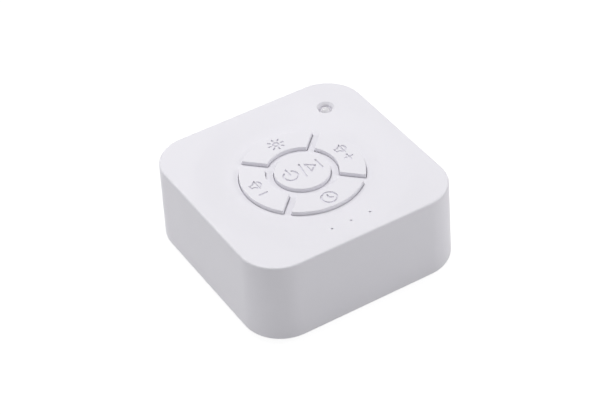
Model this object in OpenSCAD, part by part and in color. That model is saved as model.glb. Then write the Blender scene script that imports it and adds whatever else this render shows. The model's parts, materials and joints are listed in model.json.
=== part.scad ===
// White noise sound machine: a low square box with soft corners and a shallow dish in its top.
// One round key and four ring keys stand in the dish, level with the rim.
// Frame: X to the right, Y to the back, Z up; the origin is under the middle, on the table.

/* [Housing] */
// Width and depth at the top edge
body_size = 98; // [94:0.5:108]
// Height from the bottom edge of the walls to the rim
body_h = 39.2; // [38:0.1:46]
// Radius of the four upright corners at the top
corner_r = 17.5; // [14:0.5:22]
// How far each side leans out from top to bottom
side_draft = 0.72; // [0.3:0.02:1.2]
// Rounding of the top edge
top_edge_r = 0.8; // [0.4:0.1:0.9]
// Rounding of the bottom edge
bottom_edge_r = 2.2; // [1.2:0.1:2.4]
// Wall thickness at the top
wall_top = 2.2; // [1.8:0.1:2.5]
// Wall thickness at the bottom
wall_bottom = 2.7; // [2.6:0.1:3.1]
// Thickness of the top plate where the keys pass through it
plate_t = 2.2; // [1.8:0.1:2.6]
// How much higher the ceiling is outside the keys
ceiling_relief = 0.7; // [0.4:0.1:0.9]

/* [Dish] */
// Depth of the dish below the rim
dish_depth = 1.8; // [1.4:0.1:2.2]
// Radius of the flat floor that carries the keys
dish_floor_r = 29.5; // [28.5:0.5:32]
// Level land between the dish and the side of the body
dish_land = 1; // [0.95:0.05:3]
// Width of the soft bends at the foot and at the rim of the dish
dish_blend = 5.5; // [4:0.5:6]

/* [Keys] */
// Radius of the round key in the middle
middle_key_r = 12; // [11:0.25:12.5]
// Distance from the middle key to the ring keys
ring_step = 3.6; // [3.4:0.1:4.4]
// Width of the ring keys along the radius
ring_key_w = 11.25; // [10.5:0.25:12]
// Distance between two ring keys
key_gap = 3.5; // [3.1:0.1:4.5]
// How far the keys stand out of the dish floor
key_rise = 1.8; // [1.4:0.1:2.4]
// Running gap between a key and its aperture
key_clear = 0.3; // [0.25:0.05:0.4]
// Rounding of the edge of a key top
key_edge_r = 0.35; // [0.2:0.05:0.6]
// Thickness of a key's top
key_top_t = 1.5; // [1.2:0.1:2]
// Thickness of a key's skirt
key_skirt_t = 1.2; // [0.9:0.1:1.5]
// Flange that keeps a key under the plate
key_flange_w = 0.9; // [0.7:0.05:1.1]
// Thickness of the key flange
key_flange_t = 1.2; // [0.8:0.1:1.4]
// Gap between the flange and the plate above it
flange_gap = 0.3; // [0.25:0.05:0.4]
// Travel of every key
key_travel = 0.5; // [0.3:0.05:0.6]
// Radius of the stem under a key
stem_r = 2.2; // [1.9:0.1:2.6]

/* [Lamps] */
// Distance of the night light in from the two nearest sides of the body
lamp_inset = 17.8; // [16:0.2:19]
// Radius of the recess round the night light
lamp_recess_r = 3.05; // [2.9:0.05:3.4]
// Width of the sloping mouth of that recess, measured at the rim
lamp_flare = 0.9; // [0.6:0.1:1.2]
// Depth of that recess below the rim
lamp_recess_depth = 2.4; // [1.8:0.1:3]
// Radius of the clear lamp
lamp_r = 2.45; // [2.2:0.05:2.6]
// How far the top of the lamp lies below the rim
lamp_drop = 0.5; // [0.3:0.1:1]
// Height of the lamp from its collar to the top of its dome
lamp_h = 8.7; // [8:0.1:9.2]
// Distance between the pinholes
pinhole_pitch = 9.25; // [8:0.25:11]
// Distance of the pinholes in front of the middle
pinhole_y = 37.7; // [36.5:0.1:39]
// Radius of a pinhole
pinhole_r = 0.55; // [0.5:0.05:0.8]

/* [Bottom cover] */
// Thickness of the cover
cover_t = 2.2; // [1.8:0.1:2.6]
// How far the cover is set in from the bottom edge
cover_inset = 0.3; // [0.1:0.1:0.6]
// Gap round the cover
cover_clear = 0.15; // [0.1:0.05:0.3]
// Distance of the case screws in from the side of the body
screw_inset = 10.5; // [10:0.1:11]
// Radius of a housing screw boss
boss_r = 3.5; // [3:0.1:3.8]
// Radius of a case screw's shank
case_screw_r = 1.25; // [1.1:0.05:1.4]
// Distance of the feet in from the two nearest sides of the body
foot_inset = 18; // [17:0.5:19]
// Radius of a rubber foot
foot_r = 5; // [4:0.25:5.5]
// How far a foot stands out below the walls
foot_out = 1.3; // [1:0.1:2]
// Depth of the recess that holds a foot
foot_recess = 0.6; // [0.4:0.1:0.8]
// Number of grille rings
grille_rings = 5; // [4:1:5]
// Distance between grille rings
grille_pitch = 3.6; // [3.2:0.1:3.8]
// Width of a grille slot
grille_slot = 1.6; // [1.2:0.1:2]
// Number of spokes across the grille
grille_spokes = 6; // [5:1:8]

/* [Board and switches] */
// Distance from the plate down to the board
board_drop = 8.1; // [7.9:0.1:8.6]
// Thickness of the board
board_t = 1.6; // [1.2:0.1:1.8]
// Half of the width of the board
board_half = 36; // [35.5:0.1:36.2]
// Corner radius of the board
board_corner_r = 8; // [7:0.5:10]
// Width of a switch
switch_w = 6; // [5.8:0.1:6.4]
// Height of a switch without its plunger
switch_h = 3.5; // [3.3:0.1:3.7]
// Radius of a switch plunger
plunger_r = 1.75; // [1.5:0.05:1.8]
// Running gap round a switch plunger
plunger_clear = 0.3; // [0.25:0.05:0.35]
// How far a plunger stands out of its switch
plunger_rise = 1.5; // [1.3:0.1:1.7]
// Distance of the board screws left and right of the middle
board_screw_x = 32.5; // [31.5:0.1:33]
// Distance of the board screws in front of and behind the middle
board_screw_y = 20; // [14:0.5:21]

/* [Sockets] */
// Place of the charging socket along the back
usb_x = 0; // [-1:0.5:4]
// Width of the charging socket
usb_w = 8.94; // [8.8:0.02:9.1]
// Height of the charging socket
usb_h = 3.26; // [3.1:0.02:3.4]
// Place of the headphone socket along the back
jack_x = -18; // [-22:0.5:-14]
// Radius of the headphone socket's bore
jack_bore_r = 1.8; // [1.75:0.01:1.85]
// Depth of the headphone socket's bore
jack_bore_depth = 14; // [13:0.1:14.5]

/* [Speaker] */
// Place of the speaker to the left or right of the middle
speaker_x = -6; // [-8:0.5:-5]
// Outer radius of the speaker's flange
speaker_r = 25; // [24.6:0.1:25.4]
// Height of the wall that carries the speaker
speaker_wall_h = 3; // [2.8:0.1:3.4]
// Thickness of the gasket
gasket_t = 0.5; // [0.3:0.1:0.8]
// Width of the flat rim between the flange's edge and the half roll
speaker_rim_w = 3.5; // [3.3:0.1:3.8]
// Width of the half roll round the cone
roll_w = 4; // [3.6:0.1:4]
// Inner radius of the voice coil's former
former_r = 7; // [6.9:0.05:7.1]
// Air gap on either side of the voice coil
coil_gap = 0.45; // [0.35:0.05:0.5]
// Radius of the magnet
magnet_r = 16; // [15:0.25:17]
// Thickness of the magnet
magnet_t = 3; // [2.6:0.1:3.4]
// Room between the speaker and the board over it
speaker_top_room = 4.1; // [3.6:0.1:4.4]

/* [Battery] */
// Room at each end of the cell, up to the screw bosses
cell_end_room = 2.5; // [2.3:0.1:4]
// Room over the cell, up to the heads of the board screws
cell_top_room = 2.7; // [2.4:0.1:3.4]
// Thickness of the foam under the cell
foam_t = 0.5; // [0.3:0.1:0.8]
// Gap between the cell and the side wall
cell_wall_gap = 0.7; // [0.5:0.1:1.2]

/* [Hidden] */
$fn = 96;

// Colours
c_shell = [0.93, 0.925, 0.945];
c_key = [0.94, 0.935, 0.95];
c_rubber = [0.25, 0.25, 0.26];
c_steel = [0.75, 0.76, 0.78];
c_board = [0.1, 0.35, 0.2];
c_black = [0.12, 0.12, 0.13];
c_clear = [0.9, 0.95, 1, 0.5];
c_brass = [0.8, 0.66, 0.3];

// Heights
base_z = foot_out;
rim_z = base_z + body_h;
dish_z = rim_z - dish_depth;
under_z = dish_z - plate_t;
ceiling_z = under_z + ceiling_relief;
key_top_z = dish_z + key_rise;
cover_z0 = base_z + cover_inset;
cover_z1 = cover_z0 + cover_t;
board_z1 = under_z - board_drop;
board_z0 = board_z1 - board_t;
plunger_top_z = board_z1 + switch_h + plunger_rise;

// Plan sizes
half = body_size / 2;
corner_c = half - corner_r;
dish_r = half - dish_land;
ring_in_r = middle_key_r + ring_step;
ring_out_r = ring_in_r + ring_key_w;
ring_mid_r = (ring_in_r + ring_out_r) / 2;
screw_pos = half - screw_inset;
foot_pos = half - foot_inset;
lamp_pos = half - lamp_inset;
edge_steps = 6;
bend_steps = 4;
past = 1;
reach = 80;

// Half width of the outside and of the inside at a height
function outer_half(z) = half + side_draft * (rim_z - z) / body_h;
function inner_half(z) =
  half - wall_top + (side_draft + wall_top - wall_bottom) * (ceiling_z - z) / (ceiling_z - base_z);

// Rise of the dish from its floor at a radius: a parabola, a straight slope and a parabola
dish_slope = dish_depth / (dish_r - dish_floor_r - dish_blend);
function dish_rise(r) =
  let (out = min(max(r - dish_floor_r, 0), dish_r - dish_floor_r), left = dish_r - dish_floor_r - out)
  out < dish_blend ? dish_slope * out * out / (2 * dish_blend)
    : left < dish_blend ? dish_depth - dish_slope * left * left / (2 * dish_blend)
    : dish_slope * (out - dish_blend / 2);
function dish_surface(r) = dish_z + dish_rise(r);

// Arc from one angle to another, as points
function arc(cx, cy, r, a0, a1, steps = edge_steps) =
  [for (i = [0:steps]) let (a = a0 + (a1 - a0) * i / steps) [cx + r * cos(a), cy + r * sin(a)]];

// The dish's curve as points: both bends in short steps, the slope between them in one
dish_curve = concat(
  [for (i = [0:bend_steps]) let (r = dish_floor_r + dish_blend * i / bend_steps) [r, dish_surface(r)]],
  [for (i = [bend_steps:-1:0]) let (r = dish_r - dish_blend * i / bend_steps) [r, dish_surface(r)]]);

// Sizes worked out for each piece
outer_profile = concat(
  [[0, base_z]],
  arc(corner_r + side_draft - bottom_edge_r, base_z + bottom_edge_r, bottom_edge_r, -90, 0),
  arc(corner_r - top_edge_r, rim_z - top_edge_r, top_edge_r, 0, 90),
  [[0, rim_z]]);
inner_profile = [
  [0, base_z - past], [corner_r + side_draft - wall_bottom, base_z - past],
  [corner_r + side_draft - wall_bottom, base_z], [corner_r - wall_top, ceiling_z], [0, ceiling_z]];
pocket_depth = 2.1;
pocket_floor = 1.6;
boss_z = cover_z0 + pocket_depth + pocket_floor;
case_screw_l = 10;
case_bore_depth = 9.5;
rib_t = 1.4;
boss_root = 0.5;
board_boss_r = 2.8;
board_screw_r = 1.1;
board_screw_l = 8;
board_head_h = 1.4;
lamp_floor_z = rim_z - lamp_recess_depth;
lamp_top_z = rim_z - lamp_drop;
lamp_collar_z = lamp_top_z - lamp_h;
lamp_collar_t = 1;
lamp_fit = 0.1;
lamp_wall = 1.3;
pipe_guide_l = 3;
pipe_guide_z = ceiling_z - pipe_guide_l;
usb_z = board_z0 - usb_h / 2;
jack_body_h = 5.2;
jack_z = board_z0 - jack_body_h / 2;
jack_nose_r = 2.9;
surround_t = 0.3;
speaker_z = cover_z1 + speaker_wall_h + gasket_t + surround_t;
speaker_flange_t = 0.9;
speaker_wall_t = 2.6;
speaker_screw_r = 0.8;
speaker_screw_l = 3.2;
speaker_head_r = 3;
speaker_head_h = 1.1;
speaker_screw_ring_r = speaker_r + 2.2;
cell_r = (board_z0 - board_head_h - cell_top_room - cover_z1 - foam_t) / 2;
cell_l = 2 * (screw_pos - boss_r - cell_end_room);
battery_x = inner_half(cover_z1) - cell_wall_gap - cell_r;
battery_z = cover_z1 + foam_t + cell_r;
protection_t = 1;
protection_gap = 0.4;
cell_y0 = -(cell_l + protection_t + protection_gap) / 2;
cell_y1 = cell_y0 + cell_l;
lead_rise = 0.435 * cell_r;
foam_w = 8;
foam_l = 26;
saddle_t = 2;
saddle_fit = 0.2;
saddle_h = 6;
stop_w = 4.5;
stop_h = 9;
stop_t = 1.6;
flange_top_z = under_z - flange_gap;
flange_bottom_z = flange_top_z - key_flange_t;
key_inner_z = key_top_z - key_top_t;
switch_floor = 0.8;
switch_cover_t = 0.3;
dome_rise = 0.35;
plunger_foot_h = 0.9;
plunger_foot_r = plunger_r + plunger_clear + 0.15;
plunger_foot_top_z = board_z1 + switch_h - switch_cover_t - 0.3;
well_r = plunger_foot_r + plunger_clear;
lamp_chip_h = 0.9;
lamp_chip_l = 3.2;
lamp_chip_w = 1.6;
pipe_top_drop = 0.7;
jack_w = 6.4;
tab_margin = 4.4;
back_tab_x0 = jack_x - jack_w / 2 - tab_margin;
back_tab_x1 = usb_x + usb_w / 2 + tab_margin;
back_tab_y = inner_half(board_z0) - 0.8;
front_tab_x = pinhole_pitch + 4;
front_tab_y = pinhole_y + 2.8;
chip_place = ring_mid_r * 0.56;
capacitor_inset = 8.5;
capacitor_pitch = 8;
capacitor_r = 3.15;
capacitor_h = 5.4;
resistor_pitch = 2.4;
resistor_inset = 5.5;
resistor_w = 0.8;
resistor_l = 1.6;
resistor_h = 0.5;
usb_shell_t = 0.3;
usb_shell_l = 7.8;
usb_mouth_y = outer_half(usb_z) - 0.8;
jack_nose_y = outer_half(jack_z) - 0.3;
jack_body_y1 = inner_half(jack_z) - 0.5;
jack_body_l = 12.5;
header_x = (speaker_x + speaker_r + battery_x - cell_r) / 2;
header_y = 12;
header_w = 4.5;
header_l = 6;
header_h = 5.8;
plug_h = 6;
plug_in = 4;
pin_pitch = 2;
plug_bottom_z = board_z0 - header_h + plug_in - plug_h;
wire_r = 0.6;
tag_x = speaker_x + speaker_r - 1.1;
tag_y = 2.5;
tag_top_z = speaker_z + speaker_flange_t + 3;
frame_t = 0.7;
top_plate_t = 1.5;
yoke_t = 1.5;
seat_z = board_z0 - speaker_top_room - speaker_z - frame_t - top_plate_t - magnet_t - yoke_t;
ledge_z = seat_z - 2.2;
neck_z = ledge_z - 2;
cone_r = speaker_r - speaker_rim_w - roll_w;
former_t = 0.3;
winding_t = 0.25;
window_w = 17;
neck_r = former_r + former_t;
plate_bore_r = neck_r + winding_t + coil_gap;
plate_z = seat_z + frame_t;
magnet_z = plate_z + top_plate_t;
yoke_z = magnet_z + magnet_t;
flange_in_r = speaker_r - 3;
ledge_r = cone_r - 1.9;
waist_r = ledge_r - 2.3;
roll_mid_r = cone_r + roll_w / 2;
cap_r = 8.8;
cone_rim_t = 0.6;
cone_rim_w = 1.1;
cone_skin_t = 0.8;
former_over = 1.5;
winding_over = 0.4;

// ---- Shared shapes ----

// Box with upright round corners, whose edge follows a profile of [distance from corner axis, z]
module profiled_box(profile) {
  right = [for (p = profile) [corner_c + p[0], p[1]]];
  left = [for (i = [len(profile) - 1:-1:0]) [-corner_c - profile[i][0], profile[i][1]]];
  slab = concat(right, left);
  for (turn = [0, 90])
    rotate([0, 0, turn])
      rotate([90, 0, 0])
        linear_extrude(2 * corner_c, center = true)
          polygon(slab);
  for (turn = [0:90:270])
    rotate([0, 0, turn])
      translate([corner_c, corner_c, 0])
        rotate_extrude(angle = 90)
          polygon(profile);
}

module rounded_rect(x_half, y_half, r) {
  square([2 * (x_half - r), 2 * y_half], center = true);
  square([2 * x_half, 2 * (y_half - r)], center = true);
  for (x = [-1, 1], y = [-1, 1])
    translate([x * (x_half - r), y * (y_half - r)])
      circle(r);
}

module ring_2d(r_out, r_in) {
  difference() {
    circle(r_out);
    circle(r_in);
  }
}

module tube(r_out, r_in, h) {
  difference() {
    cylinder(r = r_out, h = h);
    translate([0, 0, -past])
      cylinder(r = r_in, h = h + 2 * past);
  }
}

module at_corners(p) {
  for (x = [-1, 1], y = [-1, 1])
    translate([x * p, y * p, 0])
      children();
}

module at_ring_keys() {
  for (turn = [0:90:270])
    rotate([0, 0, turn])
      translate([0, ring_mid_r, 0])
        children();
}

module at_switches() {
  children();
  at_ring_keys()
    children();
}

// Slot with round ends, w wide along X and h high along Z, running along +Y for a length
module port(w, h, l) {
  rotate([-90, 0, 0]) {
    for (x = [-1, 1])
      translate([x * (w - h) / 2, 0, 0])
        cylinder(r = h / 2, h = l);
    translate([-(w - h) / 2, -h / 2, 0])
      cube([w - h, h, l]);
  }
}

// Screw with its head's seat at z = 0 and its shank pointing up
module screw(shank_r, shank_l, head_r, head_h) {
  difference() {
    union() {
      cylinder(r = shank_r, h = shank_l);
      translate([0, 0, -head_h])
        cylinder(r = head_r, h = head_h);
    }
    for (turn = [0, 90])
      rotate([0, 0, turn])
        translate([0, 0, -head_h])
          cube([head_r * 1.1, head_r * 0.24, head_h], center = true);
  }
}

// Smooth curve through a wire's points, n steps between two points
function curve_point(a, b, c, d, t) =
  0.5 * (2 * b + t * (c - a) + t * t * (2 * a - 5 * b + 4 * c - d) + t * t * t * (3 * b - a - 3 * c + d));
function curve(p, n) =
  concat([for (i = [0:len(p) - 2], k = [0:n - 1])
    curve_point(p[max(i - 1, 0)], p[i], p[i + 1], p[min(i + 2, len(p) - 1)], k / n)], [p[len(p) - 1]]);
function unit(v) = v / norm(v);
function heading(p, i) = unit(p[min(i + 1, len(p) - 1)] - p[max(i - 1, 0)]);

// Wire of radius r that follows a route; no part of the route runs along the side vector
module wire(route, r, side = [0.2, 1, 0.1], sides = 8) {
  p = curve(route, 3);
  n = len(p);
  points = [for (i = [0:n - 1])
    let (t = heading(p, i), a = unit(cross(t, side)), b = cross(t, a))
    for (k = [0:sides - 1]) p[i] + r * (cos(360 * k / sides) * a + sin(360 * k / sides) * b)];
  walls = [for (i = [0:n - 2], k = [0:sides - 1], upper = [0, 1])
    let (j = (k + 1) % sides, q = i * sides)
    upper == 0 ? [q + k, q + sides + k, q + sides + j] : [q + k, q + sides + j, q + j]];
  ends = [for (k = [1:sides - 2], far = [0, 1])
    let (q = (n - 1) * sides)
    far == 0 ? [0, k, k + 1] : [q, q + k + 1, q + k]];
  polyhedron(points, concat(walls, ends));
}

// ---- Housing ----

// Outline of the middle key (index 0) or of the ring key at the back, grown by a distance
module key_outline(middle, grow) {
  if (middle)
    circle(middle_key_r + grow);
  else
    intersection() {
      ring_2d(ring_out_r + grow, ring_in_r - grow);
      rotate([0, 0, 45])
        translate([key_gap / 2 - grow, key_gap / 2 - grow])
          square(reach);
    }
}

module all_key_outlines(grow) {
  key_outline(true, grow);
  for (turn = [0:90:270])
    rotate([0, 0, turn])
      key_outline(false, grow);
}

module dish_space() {
  rotate_extrude()
    polygon(concat([[0, dish_z]], dish_curve, [[dish_r, rim_z + past], [0, rim_z + past]]));
}

// Inside of the housing; the plate is thicker where the keys pass through it
module inner_space() {
  difference() {
    profiled_box(inner_profile);
    translate([0, 0, under_z])
      cylinder(r = dish_floor_r + 2, h = 2 * ceiling_relief);
  }
}

// Screw boss in each corner, tied to the corner wall by a rib
module case_bosses() {
  difference() {
    at_corners(screw_pos) {
      translate([0, 0, boss_z])
        cylinder(r = boss_r, h = ceiling_z + boss_root - boss_z);
    }
    at_corners(screw_pos)
      translate([0, 0, boss_z - past])
        cylinder(r = case_screw_r + 0.05, h = case_bore_depth + past);
  }
  for (turn = [45:90:315])
    rotate([0, 0, turn])
      translate([screw_pos * sqrt(2) + boss_r - 0.3, -rib_t / 2, boss_z + 2])
        cube([corner_c * sqrt(2) + corner_r - wall_top / 2 - screw_pos * sqrt(2) - boss_r + 0.3,
          rib_t, ceiling_z - boss_z - 1.5]);
}

module board_bosses() {
  for (x = [-1, 1], y = [-1, 1])
    translate([x * board_screw_x, y * board_screw_y, board_z1])
      difference() {
        cylinder(r = board_boss_r, h = ceiling_z + boss_root - board_z1);
        translate([0, 0, -past])
          cylinder(r = board_screw_r + 0.05, h = board_screw_l - board_t + 0.5 + past);
      }
}

// Cup and tube that hold the night light
module lamp_cup() {
  translate([lamp_pos, lamp_pos, 0]) {
    translate([0, 0, lamp_floor_z - lamp_wall])
      cylinder(r = lamp_recess_r + lamp_wall, h = ceiling_z + boss_root - lamp_floor_z + lamp_wall);
    translate([0, 0, lamp_collar_z + lamp_collar_t])
      cylinder(r = lamp_r + lamp_fit + lamp_wall, h = lamp_floor_z - lamp_collar_z - lamp_collar_t);
  }
}

module lamp_space() {
  translate([lamp_pos, lamp_pos, 0]) {
    translate([0, 0, lamp_floor_z])
      cylinder(r = lamp_recess_r, h = lamp_recess_depth + past);
    translate([0, 0, rim_z - lamp_flare])
      cylinder(r1 = lamp_recess_r, r2 = lamp_recess_r + 2 * lamp_flare, h = 2 * lamp_flare);
    translate([0, 0, lamp_collar_z])
      cylinder(r = lamp_r + lamp_fit, h = lamp_h);
  }
}

module at_pinholes() {
  for (i = [-1:1])
    translate([i * pinhole_pitch, -pinhole_y, 0])
      children();
}

module pipe_guides() {
  at_pinholes()
    translate([0, 0, pipe_guide_z])
      cylinder(r = pinhole_r + 1.1, h = ceiling_z + boss_root - pipe_guide_z);
}

module back_wall_openings() {
  translate([usb_x, half - wall_top - 3, usb_z])
    port(usb_w + 0.7, usb_h + 0.7, reach);
  translate([jack_x, half - wall_top - 3, jack_z])
    rotate([-90, 0, 0])
      cylinder(r = jack_nose_r + 0.2, h = reach);
}

module top_housing() {
  color(c_shell)
    difference() {
      union() {
        difference() {
          profiled_box(outer_profile);
          inner_space();
        }
        case_bosses();
        board_bosses();
        lamp_cup();
        pipe_guides();
      }
      dish_space();
      translate([0, 0, under_z - past])
        linear_extrude(dish_depth + plate_t + 2 * past)
          all_key_outlines(key_clear);
      lamp_space();
      at_pinholes()
        translate([0, 0, pipe_guide_z - past])
          cylinder(r = pinhole_r, h = reach);
      back_wall_openings();
    }
}

// ---- Bottom cover ----

module cover_outline() {
  edge = inner_half(cover_z1) - cover_clear;
  rounded_rect(edge, edge, corner_r + side_draft - wall_bottom - cover_clear);
}

// Concentric slots in front of the speaker, crossed by spokes
module grille_slots() {
  for (i = [1:grille_rings])
    difference() {
      ring_2d(i * grille_pitch + grille_slot / 2, i * grille_pitch - grille_slot / 2);
      for (k = [0:grille_spokes - 1])
        rotate([0, 0, 360 * k / grille_spokes])
          translate([0, -grille_slot * 0.7])
            square([reach, grille_slot * 1.4]);
    }
}

module speaker_screw_spots() {
  for (a = [60, 180, 300])
    translate([speaker_x, 0, 0])
      rotate([0, 0, a])
        translate([speaker_screw_ring_r, 0, 0])
          children();
}

// Saddles and end stops that hold the cell
module battery_cradle() {
  difference() {
    for (y = [-0.3, 0.3])
      translate([battery_x - cell_r + 1, y * cell_l - saddle_t / 2, cover_z1])
        cube([2 * cell_r - 2.5, saddle_t, saddle_h]);
    translate([battery_x, -reach, battery_z])
      rotate([-90, 0, 0])
        cylinder(r = cell_r + saddle_fit, h = 2 * reach);
  }
  for (y = [cell_y0 - saddle_fit - stop_t, -cell_y0 + saddle_fit])
    translate([battery_x - cell_r + 1.5, y, cover_z1])
      cube([stop_w, stop_t, stop_h]);
}

module bottom_cover() {
  color(c_shell)
    difference() {
      union() {
        translate([0, 0, cover_z0])
          linear_extrude(cover_t)
            cover_outline();
        at_corners(screw_pos)
          translate([0, 0, cover_z0])
            cylinder(r = boss_r + 0.6, h = boss_z - cover_z0);
        translate([speaker_x, 0, cover_z1])
          tube(speaker_r + 0.3, speaker_r + 0.3 - speaker_wall_t, speaker_wall_h);
        speaker_screw_spots()
          translate([0, 0, cover_z1])
            cylinder(r = 2, h = speaker_z + speaker_flange_t - cover_z1);
        battery_cradle();
      }
      at_corners(screw_pos) {
        translate([0, 0, cover_z0 - past])
          cylinder(r = 2 * case_screw_r + 0.2, h = pocket_depth + past);
        translate([0, 0, cover_z0])
          cylinder(r = case_screw_r + 0.2, h = boss_z);
      }
      at_corners(foot_pos)
        translate([0, 0, cover_z0 - past])
          cylinder(r = foot_r + 0.1, h = foot_recess + past);
      translate([speaker_x, 0, cover_z0 - past])
        linear_extrude(cover_t + 2 * past)
          grille_slots();
      speaker_screw_spots()
        translate([0, 0, cover_z1 + 0.8])
          cylinder(r = speaker_screw_r + 0.05, h = reach);
    }
}

module case_screws() {
  color(c_steel)
    at_corners(screw_pos)
      translate([0, 0, cover_z0 + pocket_depth])
        screw(case_screw_r, case_screw_l, 2 * case_screw_r - 0.2, pocket_depth - 0.4);
}

module foot(x, y) {
  top = cover_z0 + foot_recess;
  color(c_rubber)
    translate([x * foot_pos, y * foot_pos, 0])
      rotate_extrude()
        polygon(concat([[0, 0]], arc(foot_r - 0.5, 0.5, 0.5, -90, 0, 4), [[foot_r, top], [0, top]]));
}

// ---- Keys ----

// Upper edge of a key cap: level top, rounded down to a side that faces away from x = 0
function cap_edge(x, sign) = arc(x - sign * key_edge_r, key_top_z - key_edge_r, key_edge_r,
  sign > 0 ? 0 : 90, sign > 0 ? 90 : 180, 4);

// Solid that is one key's outline seen from above, with its top edges rounded
module key_block(middle) {
  if (middle)
    rotate_extrude()
      polygon(concat([[0, flange_bottom_z], [middle_key_r, flange_bottom_z]],
        cap_edge(middle_key_r, 1), [[0, key_top_z]]));
  else
    intersection() {
      rotate_extrude()
        polygon(concat([[ring_in_r, flange_bottom_z], [ring_out_r, flange_bottom_z]],
          cap_edge(ring_out_r, 1), cap_edge(ring_in_r, -1)));
      rotate([0, 0, 45])
        intersection() {
          key_side();
          mirror([1, -1, 0])
            key_side();
        }
    }
}

// Half space beside one straight edge of a ring key, with that edge rounded
module key_side() {
  translate([0, reach, 0])
    rotate([90, 0, 0])
      linear_extrude(2 * reach)
        polygon(concat([[key_gap / 2, flange_bottom_z], [reach, flange_bottom_z], [reach, key_top_z]],
          cap_edge(key_gap / 2, -1)));
}

// Cap with a hollow underside, a flange that stays under the plate, ribs and a stem
module key(middle) {
  at = middle ? 0 : ring_mid_r;
  color(c_key)
    union() {
      difference() {
        union() {
          key_block(middle);
          translate([0, 0, flange_bottom_z])
            linear_extrude(key_flange_t)
              key_outline(middle, key_flange_w);
        }
        difference() {
          translate([0, 0, flange_bottom_z - past])
            linear_extrude(key_inner_z - flange_bottom_z + past)
              key_outline(middle, -key_skirt_t);
          for (size = [[reach, 1], [1, reach]])
            translate([0, at, flange_bottom_z + key_flange_t / 2 + reach / 2])
              cube([size[0], size[1], reach], center = true);
        }
      }
      translate([0, at, plunger_top_z])
        cylinder(r = stem_r, h = key_inner_z + key_top_t / 2 - plunger_top_z);
    }
}

module power_key() key(true);
module light_key() key(false);
module volume_down_key() rotate([0, 0, 90]) key(false);
module timer_key() rotate([0, 0, 180]) key(false);
module volume_up_key() rotate([0, 0, 270]) key(false);

// ---- Switches ----

// Place of a switch: the middle, or under the ring key that is turned from the back by an angle
module at_switch(turn = undef) {
  if (is_undef(turn))
    children();
  else
    rotate([0, 0, turn])
      translate([0, ring_mid_r, 0])
        children();
}

module plunger(turn = undef) {
  color(c_black)
    at_switch(turn)
      rotate_extrude()
        polygon([[0, plunger_foot_top_z - plunger_foot_h], [plunger_foot_r, plunger_foot_top_z - plunger_foot_h],
          [plunger_foot_r, plunger_foot_top_z], [plunger_r, plunger_foot_top_z],
          [plunger_r, plunger_top_z], [0, plunger_top_z]]);
}

module power_plunger() plunger();
module light_plunger() plunger(0);
module volume_down_plunger() plunger(90);
module timer_plunger() plunger(180);
module volume_up_plunger() plunger(270);

module switch_body(turn = undef) {
  color(c_black)
    at_switch(turn)
      translate([0, 0, board_z1])
        difference() {
          translate([-switch_w / 2, -switch_w / 2, 0])
            cube([switch_w, switch_w, switch_h - switch_cover_t]);
          translate([0, 0, switch_floor])
            cylinder(r = well_r, h = switch_h);
        }
}

module power_switch() switch_body();
module light_switch() switch_body(0);
module volume_down_switch() switch_body(90);
module timer_switch() switch_body(180);
module volume_up_switch() switch_body(270);

module switch_covers() {
  color(c_steel)
    at_switches()
      translate([0, 0, board_z1 + switch_h - switch_cover_t])
        difference() {
          translate([-switch_w / 2, -switch_w / 2, 0])
            cube([switch_w, switch_w, switch_cover_t]);
          translate([0, 0, -past])
            cylinder(r = plunger_r + plunger_clear, h = 3 * past);
        }
}

module switch_domes() {
  r = well_r - 0.1;
  color(c_steel)
    at_switches()
      translate([0, 0, board_z1 + switch_floor])
        rotate_extrude()
          polygon(concat([[0, 0], [r, 0]],
            [for (i = [0:4]) [r * (1 - i / 4), 0.1 + dome_rise * (1 - pow(1 - i / 4, 2)) * 0.7]]));
}

// ---- Lamps ----

module night_light_lens() {
  color(c_clear)
    translate([lamp_pos, lamp_pos, 0])
      rotate_extrude()
        polygon(concat([[0, lamp_collar_z], [lamp_r + 0.45, lamp_collar_z],
          [lamp_r + 0.45, lamp_collar_z + lamp_collar_t], [lamp_r, lamp_collar_z + lamp_collar_t]],
          arc(0, lamp_top_z - lamp_r, lamp_r, 0, 90, 12)));
}

module night_light_leads() {
  color(c_steel)
    for (x = [-1.27, 1.27])
      translate([lamp_pos + x - 0.25, lamp_pos - 0.25, board_z0 - 1])
        cube([0.5, 0.5, lamp_collar_z - board_z0 + 1]);
}

module timer_light_pipes() {
  r = pinhole_r - 0.05;
  bottom = board_z1 + lamp_chip_h + 0.1;
  top = dish_surface(pinhole_y) - pipe_top_drop;
  color(c_clear)
    at_pinholes()
      rotate_extrude()
        polygon([[0, bottom], [pinhole_r + 0.6, bottom], [pinhole_r + 0.6, pipe_guide_z], [r, pipe_guide_z],
          [r, top], [0, top]]);
}

module timer_lamps() {
  color(c_brass)
    at_pinholes()
      translate([-lamp_chip_l / 2, -lamp_chip_w / 2, board_z1])
        cube([lamp_chip_l, lamp_chip_w, lamp_chip_h]);
}

// ---- Board ----

module board_outline() {
  rounded_rect(board_half, board_half, board_corner_r);
  translate([back_tab_x0, 0])
    square([back_tab_x1 - back_tab_x0, back_tab_y]);
  translate([-front_tab_x, -front_tab_y])
    square([2 * front_tab_x, front_tab_y]);
}

module main_board() {
  color(c_board)
    difference() {
      translate([0, 0, board_z0])
        linear_extrude(board_t)
          board_outline();
      for (x = [-1, 1], y = [-1, 1])
        translate([x * board_screw_x, y * board_screw_y, board_z0 - past])
          cylinder(r = board_screw_r + 0.3, h = board_t + 2 * past);
      for (x = [-1.27, 1.27])
        translate([lamp_pos + x, lamp_pos, board_z0 - past])
          cylinder(r = 0.45, h = board_t + 2 * past);
    }
}

module board_screws() {
  color(c_steel)
    for (x = [-1, 1], y = [-1, 1])
      translate([x * board_screw_x, y * board_screw_y, board_z0])
        screw(board_screw_r, board_screw_l, 2 * board_screw_r, board_head_h);
}

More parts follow.
